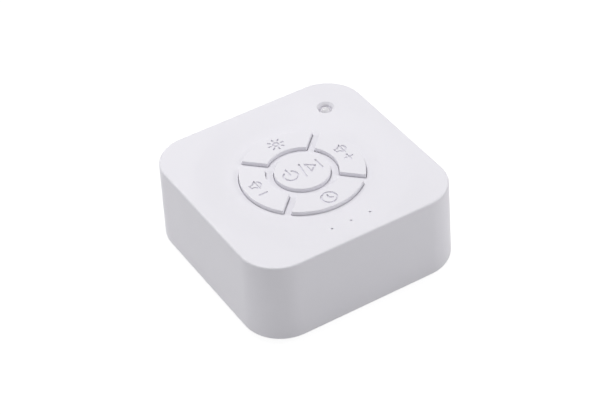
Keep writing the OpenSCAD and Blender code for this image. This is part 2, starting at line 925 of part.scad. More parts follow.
// Flat chip with a row of legs along its two long sides
module chip(l, w, h, legs) {
  color(c_black)
    translate([-l / 2, -w / 2, board_z1 + 0.1])
      cube([l, w, h]);
  color(c_steel)
    for (i = [0:legs - 1], side = [-1, 1])
      translate([-l / 2 + (i + 0.5) * l / legs - 0.2, side * (w / 2 + 0.4) - 0.4, board_z1])
        cube([0.4, 0.8, h * 0.6]);
}

module sound_chip() translate([chip_place, chip_place, 0]) chip(8, 4, 1.5, 8);
module amplifier_chip() translate([-chip_place, chip_place, 0]) chip(5, 4, 1.5, 4);
module charger_chip() translate([-chip_place, -chip_place, 0]) chip(3, 3, 1.1, 3);

module crystal() {
  color(c_steel)
    translate([chip_place, -chip_place, board_z1])
      linear_extrude(3.4)
        rounded_rect(5, 2.2, 2.1);
}

module filter_capacitors() {
  color(c_black)
    for (i = [0, 1])
      translate([-board_half + capacitor_inset + i * capacitor_pitch, -board_half + capacitor_inset, board_z1]) {
        cylinder(r = capacitor_r, h = capacitor_h);
        translate([-capacitor_r - 0.15, -capacitor_r - 0.15, 0])
          cube([2 * capacitor_r + 0.3, 2 * capacitor_r + 0.3, 0.8]);
      }
}

module chip_resistors() {
  color(c_black)
    for (i = [1:6], side = [-1, 1])
      translate([side * i * resistor_pitch - resistor_w / 2,
        side * (board_half - resistor_inset) - resistor_l / 2, board_z1])
        cube([resistor_w, resistor_l, resistor_h]);
}

module usb_socket_shell() {
  color(c_steel)
    translate([usb_x, usb_mouth_y - usb_shell_l, usb_z])
      difference() {
        port(usb_w, usb_h, usb_shell_l);
        translate([0, usb_shell_t, 0])
          port(usb_w - 2 * usb_shell_t, usb_h - 2 * usb_shell_t, usb_shell_l);
      }
}

module usb_socket_tongue() {
  color(c_black)
    translate([usb_x, usb_mouth_y - usb_shell_l + usb_shell_t, usb_z]) {
      port(usb_w - 2 * usb_shell_t - 0.1, usb_h - 2 * usb_shell_t - 0.1, 1.6);
      translate([-3.35, 0, -0.35])
        cube([6.7, usb_shell_l - 1.2, 0.7]);
    }
}

module headphone_jack() {
  color(c_black)
    difference() {
      union() {
        translate([jack_x - jack_w / 2, jack_body_y1 - jack_body_l, board_z0 - jack_body_h])
          cube([jack_w, jack_body_l, jack_body_h]);
        translate([jack_x, jack_body_y1 - past, jack_z])
          rotate([-90, 0, 0])
            cylinder(r = jack_nose_r - 0.35, h = jack_nose_y - jack_body_y1 + past);
      }
      translate([jack_x, jack_nose_y - jack_bore_depth, jack_z])
        rotate([-90, 0, 0])
          cylinder(r = jack_bore_r, h = jack_bore_depth + past);
    }
}

// ---- Wires between the boards, the cell and the speaker ----

module at_headers() {
  for (y = [-1, 1])
    translate([header_x, y * header_y, 0])
      children();
}

module at_pins() {
  for (y = [-1, 1])
    translate([0, y * pin_pitch / 2, 0])
      children();
}

module board_headers() {
  color("ivory")
    at_headers() {
      difference() {
        translate([-header_w / 2, -header_l / 2, board_z0 - header_h])
          cube([header_w, header_l, header_h]);
        translate([-header_w / 2 + 0.6, -header_l / 2 + 0.6, board_z0 - header_h - past])
          cube([header_w - 1.2, header_l - 1.2, plug_in + 0.3 + past]);
      }
      at_pins()
        translate([-0.25, -0.25, board_z0 - header_h + 0.5])
          cube([0.5, 0.5, header_h - 0.5]);
    }
}

module wire_plugs() {
  color("white")
    at_headers()
      difference() {
        translate([-header_w / 2 + 0.7, -header_l / 2 + 0.7, plug_bottom_z])
          cube([header_w - 1.4, header_l - 1.4, plug_h]);
        at_pins()
          translate([-0.35, -0.35, plug_bottom_z + 1.2])
            cube([0.7, 0.7, plug_h]);
      }
}

// Three points that bring a wire straight out of a face, and the same three coming in
function straight_out(at, dir) = [for (i = [0:2]) at + dir * wire_r * i];
function straight_in(at, dir) = [for (i = [2:-1:0]) at - dir * wire_r * i];

module speaker_leads() {
  for (s = [-1, 1])
    color(s > 0 ? "red" : "black")
      wire(concat(
        straight_out([tag_x, s * tag_y, tag_top_z], [0, 0, 1]),
        [[tag_x + 2.7 * wire_r, s * tag_y - 5 * wire_r, tag_top_z + 5.7 * wire_r],
          [header_x, -header_y + s * pin_pitch / 2 + 3.3 * wire_r, plug_bottom_z - 4.3 * wire_r]],
        straight_in([header_x, -header_y + s * pin_pitch / 2, plug_bottom_z], [0, 0, 1])), wire_r, [1, 0.2, 0.1]);
}

// The two leads leave the protection board, bow over the cell's end and dip to their plug
module battery_leads() {
  for (s = [-1, 1])
    color(s > 0 ? "red" : "black")
      wire(concat(
        straight_out([battery_x - lead_rise + 2 * s * wire_r, cell_y1 + protection_gap + protection_t,
          battery_z + lead_rise], [0, 1, 0]),
        [[battery_x - 2.1 * lead_rise, cell_y1 + 0.85 * lead_rise + 1.3 * s * wire_r,
            battery_z + 1.25 * lead_rise - 0.8 * s * wire_r],
          [header_x + (1 - 0.7 * s) * wire_r, cell_y1 - 1.25 * lead_rise + 1.5 * s * wire_r,
            battery_z + 0.9 * lead_rise - 1.3 * s * wire_r],
          [header_x, header_y + 1.25 * lead_rise + 1.8 * s * wire_r, plug_bottom_z - 0.7 * lead_rise],
          [header_x, header_y + 0.25 * lead_rise + 1.8 * s * wire_r, plug_bottom_z - 0.65 * lead_rise]],
        straight_in([header_x, header_y + s * pin_pitch / 2, plug_bottom_z], [0, 0, 1])), wire_r, [0.9, 0.1, 0.3]);
}

// ---- Battery ----

module battery_cell() {
  color([0.3, 0.5, 0.75])
    translate([battery_x, cell_y0, battery_z])
      rotate([-90, 0, 0])
        rotate_extrude()
          polygon([[0, 0], [cell_r - 0.4, 0], [cell_r, 0.4], [cell_r, cell_l - 3], [cell_r - 0.5, cell_l - 2.5],
            [cell_r - 0.5, cell_l - 2.2], [cell_r, cell_l - 1.8], [cell_r, cell_l - 1], [cell_r - 0.6, cell_l - 0.6],
            [3, cell_l - 0.6], [3, cell_l], [0, cell_l]]);
}

module battery_protection_board() {
  color(c_board)
    translate([battery_x, cell_y1 + protection_gap, battery_z])
      rotate([-90, 0, 0])
        cylinder(r = cell_r - 0.6, h = protection_t);
}

module battery_foam_pad() {
  color("dimgray")
    translate([battery_x - foam_w / 2, -foam_l / 2, cover_z1])
      cube([foam_w, foam_l, foam_t]);
}

// ---- Speaker, facing down; heights are from the front face of its flange ----

module on_speaker_axis() {
  translate([speaker_x, 0, speaker_z])
    children();
}

// Pressed basket: flange, sloping wall with four windows, spider ledge and magnet seat
module speaker_frame() {
  color(c_steel)
    on_speaker_axis()
      difference() {
        rotate_extrude()
          polygon([[speaker_r, 0], [speaker_r, speaker_flange_t], [flange_in_r + 0.9, speaker_flange_t],
            [ledge_r + 0.6, ledge_z + frame_t], [waist_r + frame_t, ledge_z + frame_t],
            [waist_r + frame_t, plate_z], [plate_bore_r, plate_z], [plate_bore_r, seat_z], [waist_r, seat_z],
            [waist_r, ledge_z], [ledge_r, ledge_z], [flange_in_r, 0.4], [flange_in_r, 0]]);
        for (turn = [45:90:315])
          rotate([0, 0, turn])
            translate([ledge_r + 1, -window_w / 2, 1.6])
              cube([reach, window_w, ledge_z - 2.2]);
      }
}

module speaker_gasket() {
  color(c_black)
    on_speaker_axis()
      translate([0, 0, -surround_t - gasket_t])
        tube(speaker_r, speaker_r + 0.3 - speaker_wall_t, gasket_t);
}

module speaker_surround() {
  color(c_black)
    on_speaker_axis()
      rotate_extrude()
        polygon(concat(
          [[cone_r - 1, 0], [cone_r - 1, -surround_t]],
          arc(roll_mid_r, -surround_t, roll_w / 2, 180, 360, 10),
          [[speaker_r - 0.4, -surround_t], [speaker_r - 0.4, 0]],
          arc(roll_mid_r, 0, roll_w / 2 - surround_t, 360, 180, 10)));
}

function cone_front(r) = neck_z * (cone_r - cone_rim_w - r) / (cone_r - cone_rim_w - neck_r);

module speaker_cone() {
  color([0.25, 0.25, 0.24])
    on_speaker_axis()
      rotate_extrude()
        polygon([[cone_r, 0], [cone_r, cone_rim_t], [cone_r - 0.8 * cone_rim_w, cone_rim_t],
          [neck_r, neck_z + cone_skin_t], [neck_r, neck_z], [cone_r - cone_rim_w, 0]]);
}

module speaker_dust_cap() {
  sag = 2;
  edge = cone_front(cap_r) - 0.35;
  color(c_black)
    on_speaker_axis()
      rotate_extrude()
        polygon(concat(
          [for (i = [0:6]) [cap_r * i / 6, edge - sag + sag * pow(i / 6, 2)]],
          [for (i = [6:-1:0]) [cap_r * i / 6, edge - sag + sag * pow(i / 6, 2) + 0.3]]));
}

module speaker_voice_coil() {
  color(c_brass)
    on_speaker_axis() {
      translate([0, 0, neck_z])
        tube(neck_r, former_r, plate_z + top_plate_t + former_over - neck_z);
      translate([0, 0, plate_z - winding_over])
        tube(neck_r + winding_t, neck_r - former_t / 2, top_plate_t + 2 * winding_over);
    }
}

// Pleated ring between the former and the ledge
module speaker_spider() {
  pleats = 6;
  pitch = (waist_r - 0.4 - neck_r) / pleats;
  wave = [for (i = [0:pleats]) [neck_r + i * pitch, ledge_z - 0.9 + (i % 2) * 0.5]];
  outer = ledge_r - 0.5;
  color([0.75, 0.6, 0.3])
    on_speaker_axis()
      rotate_extrude()
        polygon(concat(wave, [[outer, ledge_z - 0.4], [outer, ledge_z], [waist_r, ledge_z]],
          [for (i = [pleats:-1:0]) [wave[i][0], wave[i][1] + 0.3]]));
}

module speaker_top_plate() {
  color(c_steel)
    on_speaker_axis()
      translate([0, 0, plate_z])
        tube(magnet_r - 1.5, plate_bore_r, top_plate_t);
}

module speaker_magnet() {
  color([0.3, 0.3, 0.32])
    on_speaker_axis()
      translate([0, 0, magnet_z])
        tube(magnet_r, plate_bore_r + 1.5, magnet_t);
}

// Back plate with the pole piece that the voice coil runs on
module speaker_yoke() {
  color(c_steel)
    on_speaker_axis()
      difference() {
        union() {
          translate([0, 0, yoke_z])
            cylinder(r = magnet_r - 1, h = yoke_t);
          translate([0, 0, plate_z])
            cylinder(r = former_r - coil_gap, h = yoke_z - plate_z + yoke_t / 2);
        }
        cylinder(r = 2, h = reach);
      }
}

module speaker_terminals() {
  color([0.5, 0.35, 0.2])
    translate([tag_x - 0.8, -4.5, speaker_z + speaker_flange_t])
      cube([1.6, 9, 2]);
  color(c_brass)
    for (y = [-tag_y, tag_y])
      translate([tag_x - 0.25, y - 0.6, speaker_z + speaker_flange_t + 2])
        cube([0.5, 1.2, 1]);
}

module speaker_screws() {
  color(c_steel)
    speaker_screw_spots()
      translate([0, 0, speaker_z + speaker_flange_t])
        rotate([180, 0, 0])
          screw(speaker_screw_r, speaker_screw_l, speaker_head_r, speaker_head_h);
}

module speaker_dust_screen() {
  color(c_black)
    translate([speaker_x, 0, cover_z1])
      cylinder(r = speaker_r + 0.1 - speaker_wall_t, h = 0.3);
}

top_housing();
bottom_cover();
case_screws();
foot(-1, -1);  // foot_front_left
foot(1, -1);  // foot_front_right
foot(-1, 1);  // foot_back_left
foot(1, 1);  // foot_back_right
power_key();
light_key();
volume_down_key();
volume_up_key();
timer_key();
power_plunger();
light_plunger();
volume_down_plunger();
volume_up_plunger();
timer_plunger();
power_switch();
light_switch();
volume_down_switch();
volume_up_switch();
timer_switch();
switch_covers();
switch_domes();
night_light_lens();
night_light_leads();
timer_light_pipes();
timer_lamps();
main_board();
board_screws();
sound_chip();
amplifier_chip();
charger_chip();
crystal();
filter_capacitors();
chip_resistors();
usb_socket_shell();
usb_socket_tongue();
headphone_jack();
board_headers();
wire_plugs();
battery_cell();
battery_protection_board();
battery_foam_pad();
battery_leads();
speaker_frame();
speaker_gasket();
speaker_surround();
speaker_cone();
speaker_voice_coil();
speaker_dust_cap();
speaker_spider();
speaker_top_plate();
speaker_magnet();
speaker_yoke();
speaker_terminals();
speaker_screws();
speaker_leads();
speaker_dust_screen();
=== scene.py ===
"""White noise sound machine: its smooth outer pieces, their finishes, and a plain studio.

Lengths are in metres. X is to the right, Y to the back and Z up, and the origin is on the table
under the middle of the machine.
"""

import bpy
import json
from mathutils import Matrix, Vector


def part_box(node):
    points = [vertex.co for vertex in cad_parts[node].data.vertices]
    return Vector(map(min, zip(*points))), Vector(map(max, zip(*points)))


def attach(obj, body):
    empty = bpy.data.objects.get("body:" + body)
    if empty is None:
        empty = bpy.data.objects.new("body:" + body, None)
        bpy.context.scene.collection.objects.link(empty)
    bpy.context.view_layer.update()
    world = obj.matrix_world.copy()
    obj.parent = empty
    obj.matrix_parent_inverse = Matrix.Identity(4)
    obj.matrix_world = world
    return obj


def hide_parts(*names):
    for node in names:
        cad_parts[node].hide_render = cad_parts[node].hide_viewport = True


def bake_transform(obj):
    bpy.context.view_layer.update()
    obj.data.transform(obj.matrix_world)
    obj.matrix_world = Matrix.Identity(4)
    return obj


bl_info = {
    "name": "White Noise Sound Machine",
    "version": (1, 0, 0),
    "blender": (4, 5, 0),
    "location": "3D View > Sidebar > Sound Machine",
    "description": "Builds the shell, keys, night light and feet, and sets their finishes",
    "category": "Object",
}

import json
import math

import bpy
import numpy as np
from bpy.props import FloatProperty, FloatVectorProperty, IntProperty, PointerProperty
from mathutils import Matrix, Vector

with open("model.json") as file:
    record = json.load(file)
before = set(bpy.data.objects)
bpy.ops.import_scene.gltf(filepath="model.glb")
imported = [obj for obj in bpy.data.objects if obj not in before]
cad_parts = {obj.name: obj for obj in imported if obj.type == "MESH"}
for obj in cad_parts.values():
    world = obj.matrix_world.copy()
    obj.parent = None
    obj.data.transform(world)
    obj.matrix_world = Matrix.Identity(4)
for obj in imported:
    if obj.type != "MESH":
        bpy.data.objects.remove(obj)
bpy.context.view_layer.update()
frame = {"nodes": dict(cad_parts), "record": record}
SLOT_OF_NODE = {part["node"]: part["material_slot"] for part in frame["record"]["subparts"]}
JACK_PLACE = next(m["pos_m"] for m in frame["record"]["mounts"] if m["name"] == "headphone_socket")
MM = 0.001

SHELL_LOW, SHELL_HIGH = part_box("top_housing")
LENS_LOW, LENS_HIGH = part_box("night_light_lens")
KEY_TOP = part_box("power_key")[1].z
BOARD_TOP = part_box("main_board")[1].z


def number(name, about, default, **more):
    return FloatProperty(name=name, description=about, default=default, **more)


def length(name, about, millimetres):
    """A length that is given in millimetres and kept in metres."""
    return number(name, about, millimetres * MM, min=0, unit="LENGTH")


def angle(name, about, degrees):
    """An angle that is given in degrees and kept in radians."""
    return number(name, about, math.radians(degrees), subtype="ANGLE")


def power(name, about, default):
    return number(name, about, default, min=0, subtype="POWER")


def whole_number(name, about, default, least=1):
    return IntProperty(name=name, description=about, default=default, min=least)


def colour(name, about, default):
    return FloatVectorProperty(
        name=name, description=about, default=default, size=3, min=0, max=1, subtype="COLOR"
    )


class ShellSizes(bpy.types.PropertyGroup):
    """Sizes of the shell round the keys"""

    corner_axis: length("Corner Axis", "Distance of the corner axes from the middle planes", 31.5)
    top_radius: length("Corner Radius", "Radius of the upright corners at the rim", 17.5)
    draft: length("Draft", "How far each side leans out from the rim to the bottom", 0.72)
    top_edge: length("Top Edge", "Rounding of the rim", 0.8)
    bottom_edge: length("Bottom Edge", "Rounding of the bottom edge", 2.2)
    wall_top: length("Wall at the Top", "Thickness of the side walls at the top", 2.2)
    wall_bottom: length("Wall at the Bottom", "Thickness of the side walls at the bottom", 2.7)
    dish_radius: length("Dish Radius", "Radius of the dish at the rim", 48)
    dish_depth: length("Dish Depth", "Depth of the dish below the rim", 1.8)
    dish_floor: length("Dish Floor", "Radius of the level floor of the dish", 29.5)
    dish_blend: length("Dish Blend", "Width of the bend at each end of the slope", 5.5)
    plate: length("Plate", "Thickness of the plate under the keys", 2.2)
    plate_edge: length("Plate Edge", "How far that plate reaches past the dish floor", 2)
    ceiling_relief: length("Ceiling Relief", "How much higher the ceiling is outside the keys", 0.7)
    key_gap: length("Key Clearance", "Gap between a key and its aperture", 0.3)
    flange_gap: length("Flange Gap", "Gap between the plate and the flange of a key", 0.3)
    aperture_edge: length("Aperture Edge", "Break on the upper edge of each aperture", 0.06)
    recess_radius: length("Recess Radius", "Radius of the night light's recess", 3.05)
    recess_depth: length("Recess Depth", "Depth of that recess below the rim", 2.4)
    recess_flare: length("Recess Flare", "Width of the recess's sloping mouth", 0.9)
    recess_foot: length("Recess Foot", "Break round the foot of the recess", 0.3)
    lens_hole: length("Lens Hole", "Radius of the hole for the night light", 2.55)
    pinhole_radius: length("Pinhole Radius", "Radius of the timer's pinholes", 0.55)
    pinhole_step: length("Pinhole Step", "Distance between two pinholes", 9.25)
    pinhole_front: length("Pinhole Place", "Distance of the pinholes in front of the middle", 37.7)
    port_gap: length("Port Clearance", "Gap round the charging socket", 0.35)
    jack_hole: length("Headphone Hole", "Radius of the hole round the headphone socket", 3.1)


class InsideSizes(bpy.types.PropertyGroup):
    """Sizes of what is moulded inside the shell"""

    root: length("Root", "How far the inside parts reach into the ceiling", 0.4)
    case_boss: length("Case Boss", "Radius of the bosses for the case screws", 3.5)
    case_hole: length("Case Hole", "Radius of the holes in those bosses", 1.3)
    case_place: length("Case Boss Place", "Distance of those bosses from the middle planes", 38.5)
    case_foot: length("Case Boss Foot", "Height of the lower ends of those bosses", 5.3)
    board_boss: length("Board Boss", "Radius of the bosses for the board screws", 2.8)
    board_hole: length("Board Hole", "Radius of the holes in those bosses", 1.15)
    board_side: length("Board Boss Side", "Distance of those bosses to the left and right", 32.5)
    board_depth: length("Board Boss Depth", "Distance of those bosses to the front and back", 20)
    cup_wall: length("Cup Wall", "Thickness of the cup round the recess", 1.3)
    tube: length("Tube", "Outer radius of the tube round the night light", 3.85)
    guide: length("Guide", "Outer radius of the guides under the pinholes", 1.65)
    guide_length: length("Guide Length", "Length of those guides", 3.4)


class KeySizes(bpy.types.PropertyGroup):
    """Sizes of the keys and of the signs pressed into them"""

    middle_radius: length("Middle Key Radius", "Radius of the round key", 12)
    ring_inner: length("Ring Inner Radius", "Inner radius of the ring keys", 15.6)
    ring_outer: length("Ring Outer Radius", "Outer radius of the ring keys", 26.85)
    ring_gap: length("Ring Gap", "Distance between two ring keys", 3.5)
    plan_corner: length("Plan Corner", "Rounding of a ring key's corners seen from above", 0.45)
    top_edge: length("Top Edge", "Rounding of the edge of a key top", 0.35)
    skirt: length("Skirt", "Thickness of the round key's skirt", 1.2)
    flange: length("Flange", "Width of the flange under the plate", 0.9)
    flange_height: length("Flange Height", "Thickness of the flange", 1.2)
    cap: length("Cap", "Thickness of a key's top", 1.5)
    stem: length("Stem", "Radius of the stem under a key", 2.2)
    stem_edge: length("Stem Edge", "Break on the lower edge of the stem", 0.3)
    stem_root: length("Stem Root", "How far the stem reaches into the top of the key", 0.5)
    sign_width: length("Sign Width", "Width of the strokes of the signs", 0.85)
    sign_depth: length("Sign Depth", "Depth of the signs", 0.75)


class SmallPartSizes(bpy.types.PropertyGroup):
    """Sizes of the night light, the feet and the cloth"""

    lens_radius: length("Lens Radius", "Radius of the night light's dome", 2.45)
    collar: length("Collar", "How far the night light's collar stands out", 0.45)
    collar_height: length("Collar Height", "Height of that collar", 1)
    collar_edge: length("Collar Edge", "Break on the lower edge of that collar", 0.2)
    foot_edge: length("Foot Edge", "Rounding of the lower edge of a foot", 0.5)
    foot_hollow: length("Foot Hollow", "Depth of the hollow in a foot's face", 0.15)
    cloth_crown: length("Cloth Crown", "How far the faces of the cloth curve", 0.06)


class SpeakerSizes(bpy.types.PropertyGroup):
    """Sizes of the two rings that hold the speaker's cone"""

    roll: length("Roll", "Width of the surround's half roll", 4)
    skin: length("Skin", "Thickness of the surround and of the spider", 0.3)
    lip: length("Lip", "Width of the surround's edge on the cone", 1)
    neck: length("Neck", "Outer radius of the voice coil's former", 7.3)
    waist: length("Waist", "Radius where the spider's glued edge starts", 13.3)
    rim: length("Rim", "Thickness of the spider's glued edge", 0.4)
    pleat: length("Pleat", "Height of the spider's pleats", 0.5)
    pleats: whole_number("Pleats", "Number of slopes between the former and the edge", 6, 2)
    sectors: whole_number("Sectors", "Number of pieces that each ring is cut into", 12, 6)


class FinishColours(bpy.types.PropertyGroup):
    """Colours of the finishes that a user would change"""

    shell: colour("Shell", "Moulded plastic of the housing", (0.862, 0.85, 0.9))
    keys: colour("Keys", "Moulded plastic of the keys", (0.868, 0.856, 0.906))
    feet: colour("Feet", "Rubber of the feet", (0.2, 0.2, 0.21))
    board: colour("Board", "Solder mask of the board", (0.012, 0.09, 0.035))
    cell: colour("Cell", "Sleeve of the battery cell", (0.02, 0.09, 0.32))


class StageSettings(bpy.types.PropertyGroup):
    """Camera, lamps and floor"""

    azimuth: angle("Azimuth", "Camera's turn round the machine", -29.41)
    elevation: angle("Elevation", "Camera's height over the horizon", 40.23)
    roll: angle("Roll", "Camera's turn about its own axis", -3.83)
    distance: length("Distance", "Camera's distance from the point it looks at", 824.25)
    look_height: length("Look Height", "Height of the point the camera looks at", 21.3)
    lens: number("Lens", "Focal length of the camera", 116.18, min=1, unit="CAMERA")
    shift_x: number("Shift X", "Sideways shift of the picture, as a share of its width", -0.00755)
    shift_y: number("Shift Y", "Upward shift of the picture, as a share of its width", -0.0037)
    top_lamp: power("Top Lamp", "Power of the overhead lamp", 2.8)
    left_lamp: power("Left Lamp", "Power of the left lamp", 0.83)
    right_lamp: power("Right Lamp", "Power of the right lamp", 1.13)
    sky: number("Sky", "Strength of the even light all round, where white is 1", 0.375, min=0)
    floor_half: length("Floor", "Half the width of the floor", 3000)
    floor_steps: whole_number("Floor Steps", "Faces along each side of the floor", 24)


GROUPS = {
    "machine_shell": ShellSizes,
    "machine_inside": InsideSizes,
    "machine_keys": KeySizes,
    "machine_small_parts": SmallPartSizes,
    "machine_speaker": SpeakerSizes,
    "machine_colours": FinishColours,
    "machine_stage": StageSettings,
}


# ---- Curves and surfaces ----


def turns(count, start=0.0, end=2 * math.pi):
    """Angles evenly spread over a range, without the last one when the range is a whole turn."""
    whole = abs(end - start) > 2 * math.pi - 1e-9
    return np.linspace(start, end, count, endpoint=not whole)


def unit(angles):
    """Points of the unit circle at some angles."""
    return np.stack([np.cos(angles), np.sin(angles)], axis=-1)


def circle_outline(radius, count=128, at=(0.0, 0.0)):
    """Points at one radius round a centre, running anticlockwise."""
    return np.array(at) + radius * unit(turns(count))


def rounded_square(axis, radius, side=24, corner=24):
    """A square with half side axis, moved outwards by radius: each point is a point of the square
    plus radius times the outward normal, and the normal turns a quarter at each corner."""
    s = np.linspace(-1, 1, side, endpoint=False)
    t = np.linspace(0, math.pi / 2, corner, endpoint=False)
    base = np.concatenate([
        np.stack([np.full(side, axis), s * axis], axis=1),
        np.full((corner, 2), axis),
    ])
    normal = np.concatenate([np.tile([1.0, 0.0], (side, 1)), unit(t)])
    quarter = base + radius * normal
    c, d = np.array([1, 0, -1, 0]), np.array([0, 1, 0, -1])
    x = c[:, None] * quarter[:, 0] - d[:, None] * quarter[:, 1]
    y = d[:, None] * quarter[:, 0] + c[:, None] * quarter[:, 1]
    return np.stack([x.ravel(), y.ravel()], axis=1)


def sector_outline(inner, outer, gap, corner, grow, turn, steps=40, fan=7, straight=10):
    """A quarter of a ring between two radii, its straight ends half a gap away from the
    diagonals. The shape is first shrunk by the corner radius, then moved outwards along its
    normals by the corner radius plus grow, so every outline of one key has matching points."""
    low, high, edge = inner + corner, outer - corner, gap / 2 + corner
    a_high, a_low = math.asin(edge / high), math.asin(edge / low)
    quarter = math.pi / 2
    outer_n = unit(np.linspace(a_high, quarter - a_high, steps))
    inner_n = unit(np.linspace(quarter - a_low, a_low, steps))

    def corner_fan(point, start, end):
        return np.tile(point, (fan, 1)), unit(np.linspace(start, end, fan + 2)[1:-1])

    def side(p, q, normal):
        t = np.linspace(0, 1, straight)[:, None]
        return (1 - t) * p + t * q, np.tile(normal, (straight, 1))

    high_start, high_end = high * unit(a_high), high * unit(a_high)[::-1]
    low_start, low_end = low * unit(a_low)[::-1], low * unit(a_low)
    parts = [
        (high * outer_n, outer_n),
        corner_fan(high_end, quarter - a_high, math.pi),
        side(high_end, low_start, (-1.0, 0.0)),
        corner_fan(low_start, math.pi, math.pi + quarter - a_low),
        (low * inner_n, -inner_n),
        corner_fan(low_end, math.pi + a_low, 3 * quarter),
        side(low_end, high_start, (0.0, -1.0)),
        corner_fan(high_start, 3 * quarter, 4 * quarter + a_high),
    ]
    base, normal = (np.concatenate(rows) for rows in zip(*parts))
    a = math.pi / 4 + turn
    spin = np.array([[math.cos(a), math.sin(a)], [-math.sin(a), math.cos(a)]])
    return (base + (corner + grow) * normal) @ spin


def stroke_outline(route, width, ends=8):
    """A line of even width with round ends: the route moved to its right by half the width, a
    half circle round the far end, the way back on the left, and a half circle at the start."""
    p = np.asarray(route, float)
    d = np.gradient(p, axis=0)
    d /= np.linalg.norm(d, axis=1)[:, None]
    right = np.stack([d[:, 1], -d[:, 0]], axis=1) * width / 2

    def cap(centre, first):
        a = np.linspace(0, math.pi, ends + 2)[1:-1]
        side = np.array([-first[1], first[0]])
        return centre + np.cos(a)[:, None] * first + np.sin(a)[:, None] * side

    return np.concatenate([p + right, cap(p[-1], right[-1]), (p - right)[::-1], cap(p[0], -right[0])])


def outline_pair(points, width):
    """The two outlines of a closed line of even width: every corner moves out and in along the
    sum of its two outward normals, divided by one plus their product, times half the width."""
    p = np.asarray(points, float)
    d = np.roll(p, -1, axis=0) - p
    n = np.stack([d[:, 1], -d[:, 0]], axis=1) / np.linalg.norm(d, axis=1)[:, None]
    last = np.roll(n, 1, axis=0)
    mitre = (n + last) / (1 + (n * last).sum(axis=1))[:, None] * width / 2
    return p + mitre, p - mitre


def lifted(outline, z):
    """An outline as points at one height, or at one height for each point."""
    return np.column_stack([outline, np.broadcast_to(z, (len(outline),))])


def new_mesh(name, points, faces):
    """A mesh of some points and of faces that list the points at their corners."""
    mesh = bpy.data.meshes.new(name)
    mesh.from_pydata(points.tolist(), [], faces)
    mesh.update()
    return mesh


def grid_mesh(name, rings, closed=False):
    """Closed rings of matching points, joined by quads. Rings that run anticlockwise and rise on
    the outside give faces that point outwards. The first and last ring are closed by a face, or
    joined to each other when the whole is a closed tube."""
    rows, count = len(rings), len(rings[0])
    index = np.arange(rows * count).reshape(rows, count)
    after = np.roll(index, -1, axis=0) if closed else index[1:]
    before = index if closed else index[:-1]
    faces = np.stack([before, np.roll(before, -1, axis=1), np.roll(after, -1, axis=1), after], axis=-1)
    faces = faces.reshape(-1, 4).tolist()
    if not closed:
        faces += [index[0][::-1].tolist(), index[-1].tolist()]
    return new_mesh(name, np.concatenate(rings), faces)


def revolved(profile, count=96, at=(0.0, 0.0)):
    """A profile of radius and height turned about an upright axis."""
    ring = unit(turns(count))
    return [lifted(np.array(at) + r * ring, z) for r, z in profile]


def quarter_turn(radius, height, edge, count, rising):
    """Radius and height along a rounded edge: a quarter circle that rises from the side of a
    shape to its top, or from its bottom to its side."""
    t = np.linspace(0, math.pi / 2, count)
    if rising:
        return [(radius - edge + edge * math.cos(a), height - edge + edge * math.sin(a)) for a in t]
    return [(radius - edge + edge * math.sin(a), height + edge - edge * math.cos(a)) for a in t]


def box_middle(low, high):
    """Middle of a box seen from above."""
    return (low.x + high.x) / 2, (low.y + high.y) / 2


def add_piece(name, data):
    """An object in the scene, at the origin, for a mesh, a lamp or the camera."""
    piece = bpy.data.objects.new(name, data)
    bpy.context.scene.collection.objects.link(piece)
    return piece


def swap_mesh(piece, mesh):
    """Gives a piece another mesh and removes the one it had."""
    old, piece.data = piece.data, mesh
    bpy.data.meshes.remove(old)


def joined(name, parts):
    """One mesh that holds several closed shells. The meshes of the parts are removed."""
    verts, faces, start = [], [], 0
    for part in parts:
        co = np.zeros(len(part.vertices) * 3)
        part.vertices.foreach_get("co", co)
        corners = np.zeros(len(part.loops), np.int32)
        part.loops.foreach_get("vertex_index", corners)
        first = np.zeros(len(part.polygons), np.int32)
        part.polygons.foreach_get("loop_start", first)
        verts.append(co.reshape(-1, 3))
        faces += [face.tolist() for face in np.split(corners + start, first[1:])]
        start += len(part.vertices)
        bpy.data.meshes.remove(part)
    return new_mesh(name, np.concatenate(verts), faces)


def carve(piece, cutter_mesh):
    """Takes a closed cutter away from a piece and keeps the result as the piece's own mesh."""
    cutter = add_piece("cutter", cutter_mesh)
    cut = piece.modifiers.new("Cut", "BOOLEAN")
    cut.operation, cut.solver, cut.object = "DIFFERENCE", "EXACT", cutter
    bpy.context.view_layer.update()
    shaped = bpy.data.meshes.new_from_object(piece.evaluated_get(bpy.context.evaluated_depsgraph_get()))
    piece.modifiers.clear()
    swap_mesh(piece, shaped)
    bpy.data.objects.remove(cutter)
    bpy.data.meshes.remove(cutter_mesh)


def soften(piece, angle=40):
    """Smooth shading with hard edges kept, and normals that keep the large faces flat."""
    mesh = piece.data
    mesh.polygons.foreach_set("use_smooth", np.ones(len(mesh.polygons), bool))
    mesh.set_sharp_from_angle(angle=math.radians(angle))
    weighted = piece.modifiers.new("Flat Faces", "WEIGHTED_NORMAL")
    weighted.keep_sharp = True


def place(piece, body, slot, *nodes):
    """Gives a piece its body and the finish of its record slot, and hides the nodes it stands for."""
    piece.data.materials.clear()
    piece.data.materials.append(FINISHES[slot])
    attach(piece, body)
    if nodes:
        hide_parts(*nodes)


def add_turned(name, profile, count, at, slot, *nodes):
    """A piece on the housing whose profile is turned about an upright axis."""
    piece = add_piece(name, grid_mesh(name, revolved(profile, count, at)))
    soften(piece)
    place(piece, "housing", slot, *nodes)
    return piece


# ---- Finishes ----

# Length in metres of one band of a wave pattern whose scale is 1.
WAVE_LENGTH = 0.314


def feed(tree, node, sockets):
    """Links each socket of a node to an output, or sets it to a value."""
    for name, value in sockets.items():
        if isinstance(value, bpy.types.NodeSocket):
            tree.links.new(value, node.inputs[name])
        else:
            node.inputs[name].default_value = value


